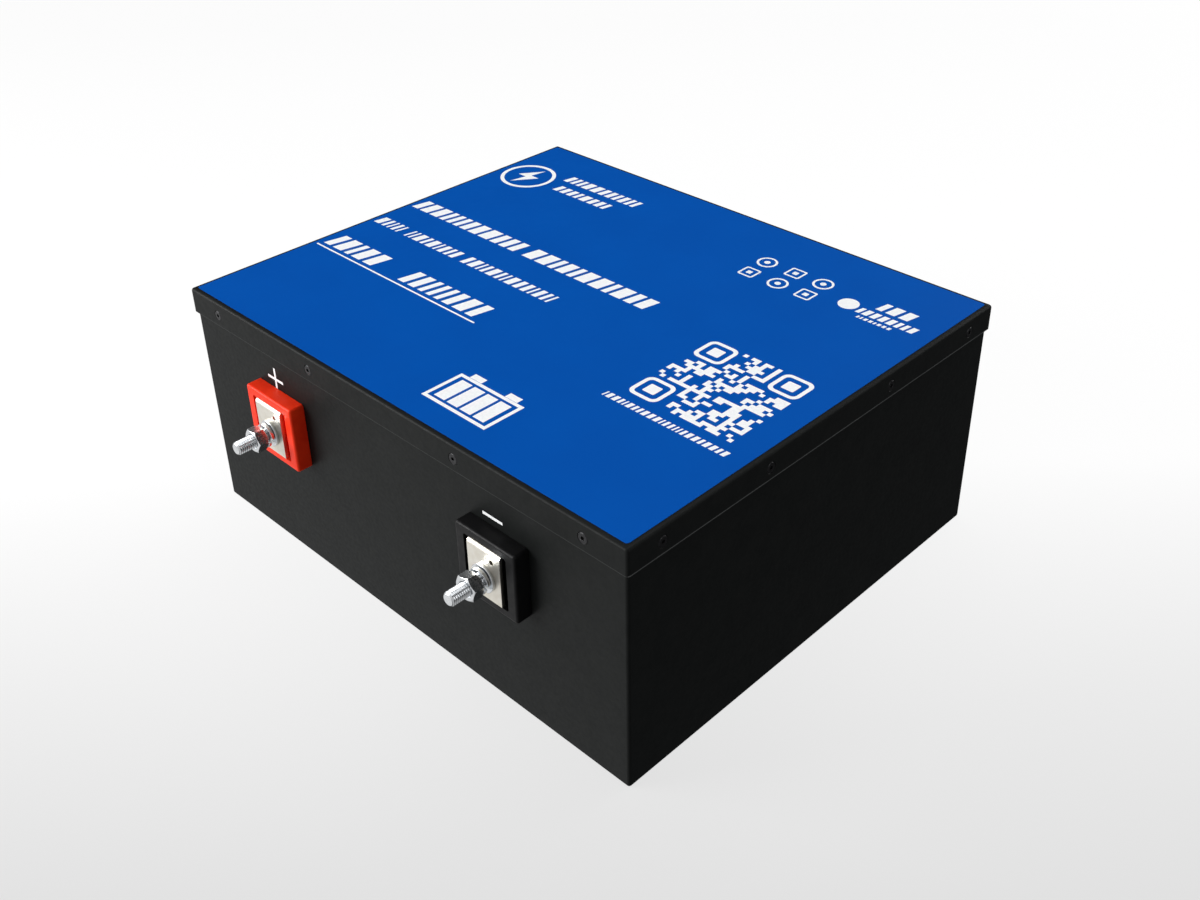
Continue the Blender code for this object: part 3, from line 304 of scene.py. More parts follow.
red_plastic = finish("red_moulded_plastic", (0.940, 0.036, 0.007), 0.36, specular=0.14)
tint(red_plastic, grain(red_plastic, 7 * MM, 3.0), (0.900, 0.031, 0.006), (0.980, 0.041, 0.008))
gloss(red_plastic, grain(red_plastic, 3 * MM), 0.30, 0.40)
relief(red_plastic, grain(red_plastic, 0.4 * MM, 2.0), 0.02 * MM, 0.3)
red_plastic.node_tree.nodes["Principled BSDF"].inputs["Subsurface Weight"].default_value = 0.06
red_plastic.node_tree.nodes["Principled BSDF"].inputs["Subsurface Scale"].default_value = 0.8 * MM

black_plastic = finish("black_moulded_plastic", (0.0060, 0.0060, 0.0064), 0.42, specular=0.14)
tint(black_plastic, grain(black_plastic, 7 * MM, 3.0), (0.0050, 0.0050, 0.0054),
     (0.0072, 0.0072, 0.0076))
gloss(black_plastic, grain(black_plastic, 3 * MM), 0.36, 0.48)
relief(black_plastic, grain(black_plastic, 0.4 * MM, 2.0), 0.02 * MM, 0.3)


def at_terminal(item, side):
    """Brings a draft made in the terminal's own space (right, up, out) to its stud's axis."""
    item.data.transform(Matrix.Translation((STUD_X[side], WALL, STUD_Z))
                        @ Matrix.Rotation(math.pi / 2, 4, "X"))
    return item


def plain_box(name, width, height, back, front, up, rounding=0.0, segments=4):
    """A box in the terminal's own space, with its four long edges rounded."""
    shape = box_shape((-width / 2, up - height / 2, back), (width / 2, up + height / 2, front))
    if rounding:
        round_edges(shape, rounding, segments,
                    lambda edge: abs(edge.verts[0].co.z - edge.verts[1].co.z) > 0.1 * MM)
    return draft(name, to_mesh(shape, name))


def hex_bar(name, across, back, front, turn=0.0):
    """A hexagonal bar with flats to its right and left."""
    shape = bmesh.new()
    bmesh.ops.create_cone(shape, cap_ends=True, segments=6, radius1=across / math.sqrt(3),
                          radius2=across / math.sqrt(3), depth=front - back)
    bmesh.ops.translate(shape, vec=(0, 0, (back + front) / 2), verts=shape.verts)
    bmesh.ops.rotate(shape, matrix=Matrix.Rotation(math.radians(30) + turn, 3, "Z"),
                     verts=shape.verts)
    return draft(name, to_mesh(shape, name))


def soft_edges(item, width, segments=2, angle=50):
    """Takes the sharpness off the edges of a draft."""
    bevel = item.modifiers.new("soft_edges", "BEVEL")
    bevel.width = width
    bevel.segments = segments
    bevel.limit_method = "ANGLE"
    bevel.angle_limit = math.radians(angle)
    bevel.miter_outer = "MITER_ARC"
    return work_in(item)


def moulded_block(side, plastic):
    body = box_shape((-BLOCK[0] / 2, BLOCK_UP - BLOCK[1] / 2, FIT),
                     (BLOCK[0] / 2, BLOCK_UP + BLOCK[1] / 2, BLOCK[2]))
    back = FIT + 0.01 * MM
    round_edges(body, BLOCK_CORNER, 5, lambda edge: any(v.co.z > back for v in edge.verts))
    block = draft(f"{side}_block_moulding", to_mesh(body, "block"))
    recess = plain_box("recess", RECESS[0], RECESS[1], BLOCK[2] - RECESS[2], BLOCK[2] + MM,
                       BLOCK_UP, RECESS_CORNER)
    combine(block, recess, "DIFFERENCE")
    boss = plain_box("boss", WINDOW[0] - 2 * FIT, WINDOW[1] - 2 * FIT, BOSS_BACK, 2 * MM,
                     BLOCK_UP, BOSS_CORNER)
    combine(block, boss, "UNION")
    hooks = plain_box("hooks", WINDOW[0] + HOOKS[0], HOOKS[1], BOSS_BACK, -SHEET - FIT, BLOCK_UP)
    combine(block, hooks, "UNION")
    plate_back = PLATE_FRONT - PLATE[2] - FIT
    top = PLATE_UP + PLATE[1] / 2 - PLATE[2] - FIT
    bottom = PLATE_UP - PLATE[1] / 2 + SADDLE_INSET
    saddle = plain_box("saddle", PLATE[0] - 2 * SADDLE_INSET, top - bottom, 3 * MM, plate_back,
                       (top + bottom) / 2, SADDLE_CORNER)
    combine(block, saddle, "UNION")
    tail_up = PLATE_UP + PLATE[1] / 2 - PLATE[2] / 2
    slot = plain_box("tail_slot", PLATE[0] + 2 * FIT, PLATE[2] + 2 * FIT, BOSS_BACK - MM,
                     BLOCK[2], tail_up)
    combine(block, slot, "DIFFERENCE")
    pocket = hex_bar("head_pocket", HEAD[0] + 2 * FIT, plate_back - HEAD[1] - FIT, BLOCK[2])
    combine(block, pocket, "DIFFERENCE")
    soft_edges(block, 0.3 * MM)
    at_terminal(block, side)
    slot_name = "red_plastic" if side == "positive" else "black_plastic"
    return shade(fit_in(block, plastic, slot_name, f"{side}_terminal_block"))


moulded_block("positive", red_plastic)
moulded_block("negative", black_plastic)


# ---- Contact plates ---------------------------------------------------------------------
# Nickel-plated copper strip, 2 mm thick. It lies over the block's saddle under the
# washers, and its top edge is folded back through the wall to carry the cable's lug.

PLATE_FOLD = 2.6 * MM
PLATE_TAIL = 20.7 * MM              # folded tail behind the wall's outer face
PUNCH_RADIUS = 1.4 * MM
PUNCH = (5.7 * MM, 12.0 * MM)       # right of the stud's axis, and above it
STUD_RADIUS = 4.0 * MM

nickel = finish("nickel_plating", (0.800, 0.765, 0.680), 0.34, 1.0)
tint(nickel, grain(nickel, 5 * MM, 4.0), (0.760, 0.720, 0.630), (0.840, 0.810, 0.735))
gloss(nickel, grain(nickel, 1.2 * MM, 5.0, (1, 1, 6)), 0.30, 0.46)
relief(nickel, grain(nickel, 0.5 * MM, 3.0, (1, 1, 9)), 0.01 * MM, 0.35)


def folded_plate(side):
    top = PLATE_UP + PLATE[1] / 2
    bottom = PLATE_UP - PLATE[1] / 2
    inner = PLATE_FOLD - PLATE[2]
    outside = [(bottom, PLATE_FRONT)]
    inside = [(bottom, PLATE_FRONT - PLATE[2])]
    for step in range(9):
        turn = math.pi / 2 * step / 8
        lift, reach = math.sin(turn), math.cos(turn)
        outside.append((top - PLATE_FOLD * (1 - lift), PLATE_FRONT - PLATE_FOLD * (1 - reach)))
        inside.append((top - PLATE_FOLD + inner * lift, PLATE_FRONT - PLATE_FOLD + inner * reach))
    outside.append((top, -PLATE_TAIL))
    inside.append((top - PLATE[2], -PLATE_TAIL))
    shape = bmesh.new()
    corners = [shape.verts.new((-PLATE[0] / 2, up, out)) for up, out in outside + inside[::-1]]
    count = len(outside)
    for first in range(count - 1):
        shape.faces.new((corners[first], corners[first + 1], corners[-2 - first],
                         corners[-1 - first]))
    drawn = bmesh.ops.extrude_face_region(shape, geom=shape.faces[:])
    moved = [part for part in drawn["geom"] if isinstance(part, bmesh.types.BMVert)]
    bmesh.ops.translate(shape, vec=(PLATE[0], 0, 0), verts=moved)
    bmesh.ops.recalc_face_normals(shape, faces=shape.faces)
    plate = draft(f"{side}_contact_plate", to_mesh(shape, "plate"))
    back = PLATE_FRONT - 2 * PLATE[2]
    front = PLATE_FRONT + PLATE[2]
    bore = turned("stud_hole", [(0, front), (STUD_RADIUS + FIT, front), (STUD_RADIUS + FIT, back),
                                (0, back)], 48)
    combine(plate, draft("stud_hole", bore), "DIFFERENCE")
    punch = turned("punch", [(0, front), (PUNCH_RADIUS, front), (PUNCH_RADIUS, back), (0, back)],
                   24)
    punch.transform(Matrix.Translation((*PUNCH, 0)))
    combine(plate, draft("punch", punch), "DIFFERENCE")
    soft_edges(plate, 0.22 * MM)
    at_terminal(plate, side)
    return shade(fit_in(plate, nickel, "nickel_plate", f"{side}_terminal_plate"))


for side in SIDES:
    folded_plate(side)


# ---- Studs ------------------------------------------------------------------------------
# M8 x 1.25 bolts in zinc-plated steel with a rolled thread. The hex head sits in the
# block's pocket behind the plate and can't turn; the thread sticks out with its tip
# chamfered.

PITCH = 1.25 * MM
THREAD_DEPTH = 0.62 * MM
STUD_TIP = 33.6 * MM
TIP_CHAMFER = 1.0 * MM

zinc = finish("bright_zinc_plating", (0.780, 0.800, 0.815), 0.17, 1.0)
tint(zinc, grain(zinc, 3 * MM, 3.0), (0.720, 0.745, 0.765), (0.840, 0.855, 0.870))
gloss(zinc, grain(zinc, 0.8 * MM, 4.0), 0.12, 0.26)
relief(zinc, grain(zinc, 0.35 * MM, 3.0), 0.008 * MM, 0.3)


def thread_depth(share):
    """How far the thread is cut in at that share of the pitch: flat crest, sloped flanks."""
    crest, root = 0.14, 0.18
    flank = (1 - crest - root) / 2
    if share < crest:
        return 0.0
    if share < crest + flank:
        return (share - crest) / flank
    if share < crest + flank + root:
        return 1.0
    return (1 - share) / flank


def skin(shape, rings):
    """Faces between each ring of corners and the next."""
    for near, far in zip(rings, rings[1:]):
        for index in range(len(near)):
            after = (index + 1) % len(near)
            shape.faces.new((near[index], near[after], far[after], far[index]))


def threaded_stud(side):
    around = 40
    per_pitch = 10
    head_front = PLATE_FRONT - PLATE[2] - FIT
    head_back = head_front - HEAD[1]
    foot = head_back + MM
    step = PITCH / per_pitch
    count = int((STUD_TIP - foot) / step)
    heights = [foot + index * step for index in range(count)] + [STUD_TIP]
    shape = bmesh.new()
    rings = []
    for height in heights:
        ring = []
        for index in range(around):
            turn = 2 * math.pi * index / around
            share = (height / PITCH - index / around) % 1.0
            radius = STUD_RADIUS - THREAD_DEPTH * thread_depth(share)
            if height < head_front + 0.5 * MM:
                radius = STUD_RADIUS - THREAD_DEPTH
            radius = min(radius, STUD_RADIUS - TIP_CHAMFER + (STUD_TIP - height))
            ring.append(shape.verts.new((radius * math.cos(turn), radius * math.sin(turn), height)))
        rings.append(ring)
    skin(shape, rings)
    shape.faces.new(rings[0][::-1])
    shape.faces.new(rings[-1])
    stud = draft(f"{side}_stud_thread", to_mesh(shape, "stud"))
    head = hex_bar("head", HEAD[0], head_back, head_front)
    soft_edges(head, 0.3 * MM)
    combine(stud, head, "UNION")
    at_terminal(stud, side)
    return shade(fit_in(stud, zinc, "bright_zinc", f"{side}_terminal_stud"), 50)


for side in SIDES:
    threaded_stud(side)


# ---- Washers and nuts -------------------------------------------------------------------
# On each stud: a stamped flat washer, a split spring washer that isn't pulled flat, and
# an M8 hex nut with chamfered corners. All are zinc-plated steel. The nut unscrews along
# the stud, and the washers travel with it.

WASHER_START = 10.6 * MM
WASHER_THICKNESS = 1.6 * MM
WASHER_RADII = (4.25 * MM, 8.0 * MM)
SPRING_START = 12.3 * MM
SPRING_WIRE = 2.0 * MM
SPRING_RISE = 2.1 * MM
SPRING_RADIUS = 6.9 * MM
NUT_START = 16.5 * MM
NUT_THICKNESS = 6.5 * MM
NUT_TURN = {"positive": math.radians(3), "negative": math.radians(13)}


def ring_profile(inner, outer, low, high, soft):
    """Outline of a ring's section with its corners taken off."""
    return [(inner, low + soft), (inner + soft, low), (outer - soft, low), (outer, low + soft),
            (outer, high - soft), (outer - soft, high), (inner + soft, high), (inner, high - soft),
            (inner, low + soft)]


def flat_washer(side):
    outline = ring_profile(*WASHER_RADII, WASHER_START, WASHER_START + WASHER_THICKNESS,
                           0.18 * MM)
    washer = draft(f"{side}_washer_flat", turned("flat_washer", outline, 72))
    at_terminal(washer, side)
    return shade(fit_in(washer, zinc, "bright_zinc", f"{side}_flat_washer",
                        body=f"{side}_washers"))


def spring_washer(side):
    """One open turn of square wire whose two ends stand apart."""
    steps = 72
    sweep = math.radians(345)
    inner = STUD_RADIUS + FIT
    shape = bmesh.new()
    outline = ring_profile(inner, SPRING_RADIUS, SPRING_START, SPRING_START + SPRING_WIRE,
                           0.2 * MM)[:-1]
    rings = []
    for step in range(steps + 1):
        turn = sweep * step / steps
        lift = SPRING_RISE * step / steps
        rings.append([shape.verts.new((radius * math.cos(turn), radius * math.sin(turn),
                                       height + lift)) for radius, height in outline])
    skin(shape, rings)
    shape.faces.new(rings[0][::-1])
    shape.faces.new(rings[-1])
    bmesh.ops.recalc_face_normals(shape, faces=shape.faces)
    washer = draft(f"{side}_washer_spring", to_mesh(shape, "spring_washer"))
    at_terminal(washer, side)
    return shade(fit_in(washer, zinc, "bright_zinc", f"{side}_spring_washer",
                        body=f"{side}_washers"))


def hex_nut(side):
    across, start, end = HEAD[0], NUT_START, NUT_START + NUT_THICKNESS
    corner = across / math.sqrt(3)
    shoulder = across / 2 * 0.97
    fall = (corner + MM - shoulder) * math.tan(math.radians(30))
    bore = STUD_RADIUS + 0.06 * MM
    mouth = STUD_RADIUS + 0.5 * MM
    outline = [(bore, start + mouth - bore), (mouth, start), (shoulder, start),
               (corner + MM, start + fall), (corner + MM, end - fall), (shoulder, end),
               (mouth, end), (bore, end + bore - mouth), (bore, start + mouth - bore)]
    nut = hex_bar(f"{side}_nut_hex", across, start - 0.05 * MM, end + 0.05 * MM, NUT_TURN[side])
    combine(nut, draft("nut_blank", turned("nut_blank", outline, 96)), "INTERSECT")
    soft_edges(nut, 0.08 * MM, 2, 25)
    at_terminal(nut, side)
    return shade(fit_in(nut, zinc, "bright_zinc", f"{side}_hex_nut", body=f"{side}_nut"), 25)


for side in SIDES:
    flat_washer(side)
    spring_washer(side)
    hex_nut(side)


# ---- Polarity marks ---------------------------------------------------------------------
# A plus and a minus in white ink, screen-printed on the front wall above the blocks.

white_ink = finish("white_ink", (0.920, 0.930, 0.940), 0.50)
tint(white_ink, grain(white_ink, 1.5 * MM, 3.0), (0.880, 0.890, 0.900), (0.950, 0.955, 0.960))
relief(white_ink, grain(white_ink, 0.3 * MM, 2.0), 0.01 * MM, 0.4)

INK = 0.03 * MM                     # how thick the ink lies
INK_FOOT = 0.005 * MM               # clear of the face under it


def prism(shape, outline, low, high):
    """Adds a flat-topped prism over an outline of x and y."""
    bottom = [shape.verts.new((x, y, low)) for x, y in outline]
    top = [shape.verts.new((x, y, high)) for x, y in outline]
    shape.faces.new(top)
    shape.faces.new(bottom[::-1])
    for index in range(len(outline)):
        after = (index + 1) % len(outline)
        shape.faces.new((bottom[index], bottom[after], top[after], top[index]))


def printed(name, outlines, to_place, rings=()):
    """Ink on a face: one thin prism for each outline, and one thin washer for each ring."""
    shape = bmesh.new()
    for outline in outlines:
        prism(shape, outline, INK_FOOT, INK)
    for outer, inner in rings:
        levels = [[shape.verts.new((x, y, z)) for x, y in line]
                  for line, z in ((outer, INK), (inner, INK), (inner, INK_FOOT),
                                  (outer, INK_FOOT))]
        skin(shape, levels + levels[:1])
    bmesh.ops.recalc_face_normals(shape, faces=shape.faces)
    item = draft(name, to_mesh(shape, name))
    item.data.transform(to_place)
    return fit_in(item, white_ink, "label_film")


def bar(left, bottom, right, top, slant=0.0):
    """Outline of a bar, leaning over to the right by slant at its top."""
    return [(left, bottom), (right, bottom), (right + slant, top), (left + slant, top)]


on_wall = Matrix.Translation((0, WALL, 0)) @ Matrix.Rotation(math.pi / 2, 4, "X")
PLUS = (-97.8 * MM, 117.4 * MM)
MINUS = (85.1 * MM, 116.6 * MM)
ARM = 7.2 * MM
STROKE = 0.85 * MM
x, z = PLUS
printed("plus_mark", [[(x - ARM, z - STROKE), (x - STROKE, z - STROKE), (x - STROKE, z - ARM),
                       (x + STROKE, z - ARM), (x + STROKE, z - STROKE), (x + ARM, z - STROKE),
                       (x + ARM, z + STROKE), (x + STROKE, z + STROKE), (x + STROKE, z + ARM),
                       (x - STROKE, z + ARM), (x - STROKE, z + STROKE), (x - ARM, z + STROKE)]],
        on_wall)
x, z = MINUS
printed("minus_mark", [bar(x - ARM, z - STROKE, x + ARM, z + STROKE)], on_wall)


# ---- Cells ------------------------------------------------------------------------------
# Eight flat lithium cells in drawn aluminium cans, laid on edge side by side. Each can is
# wrapped in blue shrink film that laps round its front end, where both posts and the vent
# are.

CELL_NAMES = [f"cell_{number}" for number in range(1, 9)]
POST_RADIUS = 8.0 * MM
POST_OFFSET = 39.0 * MM
CAN_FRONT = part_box("cell_1")[0].y + 3.0 * MM
CELL_MIDDLE = sum(corner.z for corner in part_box("cell_1")) / 2

shrink_wrap = finish("blue_shrink_wrap", (0.020, 0.140, 0.400), 0.30)
tint(shrink_wrap, grain(shrink_wrap, 30 * MM, 4.0), (0.016, 0.118, 0.350), (0.024, 0.160, 0.450))
gloss(shrink_wrap, grain(shrink_wrap, 6 * MM, 3.0, (1, 0.3, 1)), 0.24, 0.40)
relief(shrink_wrap, grain(shrink_wrap, 9 * MM, 3.0, (1, 0.25, 1)), 0.10 * MM, 0.5)

aluminium = finish("mill_aluminium", (0.780, 0.790, 0.800), 0.34, 1.0)
tint(aluminium, grain(aluminium, 8 * MM, 4.0), (0.720, 0.730, 0.745), (0.830, 0.840, 0.850))
gloss(aluminium, grain(aluminium, 1.0 * MM, 4.0, (1, 8, 8)), 0.28, 0.46)
relief(aluminium, grain(aluminium, 0.5 * MM, 3.0, (1, 10, 10)), 0.01 * MM, 0.4)


def rounded_slab(name, low, high, radius, segments, along):
    """A box whose edges that run along one axis are rounded."""
    axis = "xyz".index(along)
    shape = box_shape(low, high)
    round_edges(shape, radius, segments,
                lambda edge: abs(edge.verts[0].co[axis] - edge.verts[1].co[axis]) > 0.05 * MM)
    return draft(name, to_mesh(shape, name))


def facing_front(outline, x, z, back, front):
    """A turned part standing on a can's front end, from back towards the front of the case."""
    steps = [(radius, back + (front - back) * share) for radius, share in outline]
    mesh = turned("turned", steps, 40)
    mesh.transform(Matrix.Translation((x, 0, z)) @ Matrix.Rotation(math.pi / 2, 4, "X"))
    return mesh


for number, name in enumerate(CELL_NAMES, start=1):
    low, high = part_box(name)
    x = (low.x + high.x) / 2
    front = Vector((low.x, CAN_FRONT, low.z))
    wrap = rounded_slab(f"cell_wrap_{number}", front, high, 2.0 * MM, 5, "y")
    lap = Vector((2.6 * MM, 0, 2.6 * MM))
    mouth = rounded_slab("mouth", front + lap - Vector((0, MM, 0)),
                         Vector((high.x, CAN_FRONT + 0.3 * MM, high.z)) - lap, 2.0 * MM, 4, "y")
    combine(wrap, mouth, "DIFFERENCE")
    soft_edges(wrap, 0.4 * MM, 3)
    shade(fit_in(wrap, shrink_wrap, "cell_wrap", name))

    end = rounded_slab(f"cell_end_{number}", front + lap + Vector((0.1 * MM, 0.12 * MM, 0.1 * MM)),
                       Vector((high.x - 0.1 * MM, CAN_FRONT + 0.35 * MM, high.z - 0.1 * MM)) - lap,
                       1.9 * MM, 4, "y")
    for z in (CELL_MIDDLE - POST_OFFSET, CELL_MIDDLE + POST_OFFSET):
        post = facing_front([(0, 0), (POST_RADIUS, 0), (POST_RADIUS, 0.86),
                             (POST_RADIUS - 0.4 * MM, 1), (2.4 * MM, 1), (2.2 * MM, 0.9),
                             (0, 0.9)], x, z,
                            -CAN_FRONT - 0.3 * MM, -CAN_FRONT + 3.0 * MM)
        combine(end, draft("post", post), "UNION")
    shade(fit_in(end, aluminium, "aluminium"))

    vent = bmesh.new()
    for outer, inner, z in ((10.6, 8.1, CELL_MIDDLE - POST_OFFSET),
                            (10.6, 8.1, CELL_MIDDLE + POST_OFFSET),
                            (7.5, 5.6, CELL_MIDDLE + 4 * MM), (2.4, 1.2, CELL_MIDDLE - 20 * MM)):
        vent.from_mesh(facing_front([(inner * MM, 0), (outer * MM, 0), (outer * MM, 0.7),
                                     ((outer - 0.2) * MM, 1), ((inner + 0.2) * MM, 1),
                                     (inner * MM, 0.7), (inner * MM, 0)], x, z,
                                    -CAN_FRONT - 0.2 * MM, -CAN_FRONT + 0.4 * MM))
    seals = draft(f"cell_seals_{number}", to_mesh(vent, "seals"))
    shade(fit_in(seals, black_plastic, "black_plastic"))


# ---- Foam pads --------------------------------------------------------------------------
# Sheets of grey closed-cell foam, die-cut to size. They lie under the cells, on top of
# them and at both ends of the row, and are squashed where the straps press into them.

foam = finish("grey_closed_cell_foam", (0.115, 0.115, 0.120), 0.95, specular=0.2)
tint(foam, grain(foam, 2.2 * MM, 5.0), (0.085, 0.085, 0.090), (0.145, 0.145, 0.150))
gloss(foam, grain(foam, 1.5 * MM, 3.0), 0.88, 1.0)
relief(foam, grain(foam, 0.7 * MM, 2.0), 0.25 * MM, 0.9)
relief(foam, grain(foam, 7.0 * MM, 2.0), 0.30 * MM, 0.5)

STRAP_Y = [sum(corner.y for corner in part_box(name)) / 2
           for name in ("front_pack_strap", "back_pack_strap")]
STRAP_HALF = 8.0 * MM + FIT
STRAP_DIP = 1.4 * MM


def foam_pad(name, node, thin, cell_side, shy=0.12 * MM):
    """A pad of foam, thin along one axis, with pinched edges and dips under the straps."""
    low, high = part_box(node)
    low += Vector((shy, shy, shy))
    high -= Vector((shy, shy, shy))
    long_axis = 0 if thin == 2 else 2
    length = high[long_axis] - low[long_axis]
    depth = high.y - low.y
    count_long = max(12, int(length / (6 * MM)))
    count_y = 4 * int(depth / (9 * MM))
    pinch = min(0.9 * MM, (high[thin] - low[thin]) * 0.28)
    shape = bmesh.new()
    faces = {}
    for side in (-1, 1):
        for across in range(count_long + 1):
            for deep in range(count_y + 1):
                spot = Vector((0, 0, 0))
                spot[long_axis] = low[long_axis] + length * across / count_long
                spot.y = low.y + depth * deep / count_y
                inset = pinch if across in (0, count_long) or deep in (0, count_y) else 0.0
                if side == cell_side:
                    near = min(abs(spot.y - y) for y in STRAP_Y) - STRAP_HALF
                    inset = max(inset, STRAP_DIP * min(1.0, max(0.0, 1.0 - (near - MM) / (3 * MM))))
                spot[thin] = (high[thin] - inset) if side > 0 else (low[thin] + inset)
                faces[side, across, deep] = shape.verts.new(spot)
        for across in range(count_long):
            for deep in range(count_y):
                shape.faces.new((faces[side, across, deep], faces[side, across + 1, deep],
                                 faces[side, across + 1, deep + 1], faces[side, across, deep + 1]))
    border = ([(across, 0) for across in range(count_long)]
              + [(count_long, deep) for deep in range(count_y)]
              + [(across, count_y) for across in range(count_long, 0, -1)]
              + [(0, deep) for deep in range(count_y, 0, -1)])
    for here, there in zip(border, border[1:] + border[:1]):
        shape.faces.new((faces[-1, *here], faces[-1, *there], faces[1, *there], faces[1, *here]))
    bmesh.ops.recalc_face_normals(shape, faces=shape.faces)
    pad = draft(name, to_mesh(shape, name))
    shade(fit_in(pad, foam, "grey_foam", node), 60)
    return pad


foam_pad("foam_under_cells", "bottom_pad", 2, 1)
foam_pad("foam_left_end", "left_end_pad", 0, 1)
foam_pad("foam_right_end", "right_end_pad", 0, -1)
foam_pad("foam_over_cells", "top_pad", 2, -1)


# ---- Straps and cell stop ---------------------------------------------------------------
# Two bands of woven polyester hold the row of cells together. A zinc-plated steel angle on
# the tray's floor keeps the row from sliding forwards.

def dress(material, *nodes):
    """Gives CAD nodes whose shape is right their finish."""
    for node in nodes:
        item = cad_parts[node]
        item.data.materials.clear()
        item.data.materials.append(material)


def waves(material, pitch, axis, distortion=0.0):
    """Parallel ridges across one axis, a pitch apart."""
    space = material.node_tree.nodes.new("ShaderNodeTexCoord")
    ridge = material.node_tree.nodes.new("ShaderNodeTexWave")
    ridge.bands_direction = axis
    ridge.inputs["Scale"].default_value = 0.314 / pitch
    ridge.inputs["Distortion"].default_value = distortion
    material.node_tree.links.new(space.outputs["Object"], ridge.inputs["Vector"])
    return ridge.outputs["Fac"]


webbing = finish("woven_polyester", (0.700, 0.700, 0.640), 0.62)
tint(webbing, waves(webbing, 0.8 * MM, "Y", 1.5), (0.560, 0.560, 0.500), (0.780, 0.780, 0.720),
     0.2, 0.8)
relief(webbing, waves(webbing, 0.8 * MM, "Y", 1.5), 0.15 * MM, 0.8)
relief(webbing, waves(webbing, 1.2 * MM, "DIAGONAL"), 0.12 * MM, 0.6)
gloss(webbing, grain(webbing, 3 * MM), 0.55, 0.75)
dress(webbing, "front_pack_strap", "back_pack_strap")

plated_steel = finish("zinc_plated_sheet", (0.560, 0.570, 0.580), 0.34, 1.0)
tint(plated_steel, grain(plated_steel, 6 * MM, 5.0), (0.480, 0.495, 0.510), (0.640, 0.645, 0.650))
gloss(plated_steel, grain(plated_steel, 2 * MM, 4.0), 0.26, 0.46)
relief(plated_steel, grain(plated_steel, 0.6 * MM, 3.0), 0.015 * MM, 0.4)
dress(plated_steel, "cell_stop")


# ---- Busbars ----------------------------------------------------------------------------
# Aluminium strip, 2 mm thick, laser-welded to the posts in rings. The two end bars have a
# tag folded to the front for the power cables.

BUSBARS = ("positive_busbar", "series_link_1", "series_link_2", "series_link_3", "negative_busbar")
dress(aluminium, *BUSBARS)

weld_grey = finish("laser_weld", (0.420, 0.420, 0.425), 0.42, 1.0)
tint(weld_grey, grain(weld_grey, 0.8 * MM, 4.0), (0.300, 0.300, 0.305), (0.560, 0.560, 0.565))
relief(weld_grey, grain(weld_grey, 0.5 * MM, 3.0), 0.05 * MM, 0.9)

welds = bmesh.new()
for bar_name in BUSBARS:
    low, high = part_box(bar_name)
    face = -(CAN_FRONT - 3.0 * MM - FIT - 2.0 * MM)
    z = (low.z + high.z) / 2
    for name in CELL_NAMES:
        cell_low, cell_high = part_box(name)
        x = (cell_low.x + cell_high.x) / 2
        if low.x < x < high.x:
            for radius in (3.2, 5.4):
                welds.from_mesh(facing_front([((radius - 0.6) * MM, 0), ((radius + 0.6) * MM, 0),
                                              ((radius + 0.35) * MM, 1), ((radius - 0.35) * MM, 1),
                                              ((radius - 0.6) * MM, 0)], x, z,
                                             face - 0.05 * MM, face + 0.12 * MM))
weld_rings = draft("busbar_weld_rings", to_mesh(welds, "welds"))
shade(fit_in(weld_rings, weld_grey, "aluminium"))


# ---- Insulating board and sensing leads -------------------------------------------------
# Yellow-green glass-fibre board in front of the busbars. The harness runs along it with
# one silicone-covered wire to each busbar, and a bead on a middle cell senses its heat.

def inside(material, low, high):
    """1 within a box of the piece's own space and 0 outside it."""
    nodes = material.node_tree.nodes
    links = material.node_tree.links
    space = nodes.new("ShaderNodeTexCoord")
    offset = nodes.new("ShaderNodeVectorMath")
    offset.operation = "SUBTRACT"
    offset.inputs[1].default_value = (Vector(low) + Vector(high)) / 2
    links.new(space.outputs["Object"], offset.inputs[0])
    size = nodes.new("ShaderNodeVectorMath")
    size.operation = "ABSOLUTE"
    links.new(offset.outputs[0], size.inputs[0])
    parts = nodes.new("ShaderNodeSeparateXYZ")
    links.new(size.outputs[0], parts.inputs[0])
    total = None
    for axis, half in zip("XYZ", (Vector(high) - Vector(low)) / 2):
        below = nodes.new("ShaderNodeMath")
        below.operation = "LESS_THAN"
        below.inputs[1].default_value = half
        links.new(parts.outputs[axis], below.inputs[0])
        if total is None:
            total = below.outputs[0]
            continue
        both = nodes.new("ShaderNodeMath")
        both.operation = "MULTIPLY"
        links.new(total, both.inputs[0])
        links.new(below.outputs[0], both.inputs[1])
        total = both.outputs[0]
    return total


def either(material, first, second):
    most = material.node_tree.nodes.new("ShaderNodeMath")
    most.operation = "MAXIMUM"
    material.node_tree.links.new(first, most.inputs[0])
    material.node_tree.links.new(second, most.inputs[1])
    return most.outputs[0]


def recolour(material, where, colour):
    """Changes the finish's colour where that amount is 1."""
    links = material.node_tree.links
    base = material.node_tree.nodes["Principled BSDF"].inputs["Base Color"]
    mix = material.node_tree.nodes.new("ShaderNodeMix")
    mix.data_type = "RGBA"
    mix.inputs[7].default_value = (*colour, 1.0)
    links.new(where, mix.inputs[0])
    links.new(base.links[0].from_socket, mix.inputs[6])
    links.new(mix.outputs[2], base)


def part_metal(material, where, colour, roughness):
    """Turns the finish into bare metal where that amount is 1."""
    recolour(material, where, colour)
    nodes = material.node_tree.nodes
    links = material.node_tree.links
    shader = nodes["Principled BSDF"]
    links.new(where, shader.inputs["Metallic"])
    rough = nodes.new("ShaderNodeMapRange")
    rough.inputs["To Min"].default_value = shader.inputs["Roughness"].default_value
    rough.inputs["To Max"].default_value = roughness
    links.new(where, rough.inputs["Value"])
    links.new(rough.outputs["Result"], shader.inputs["Roughness"])


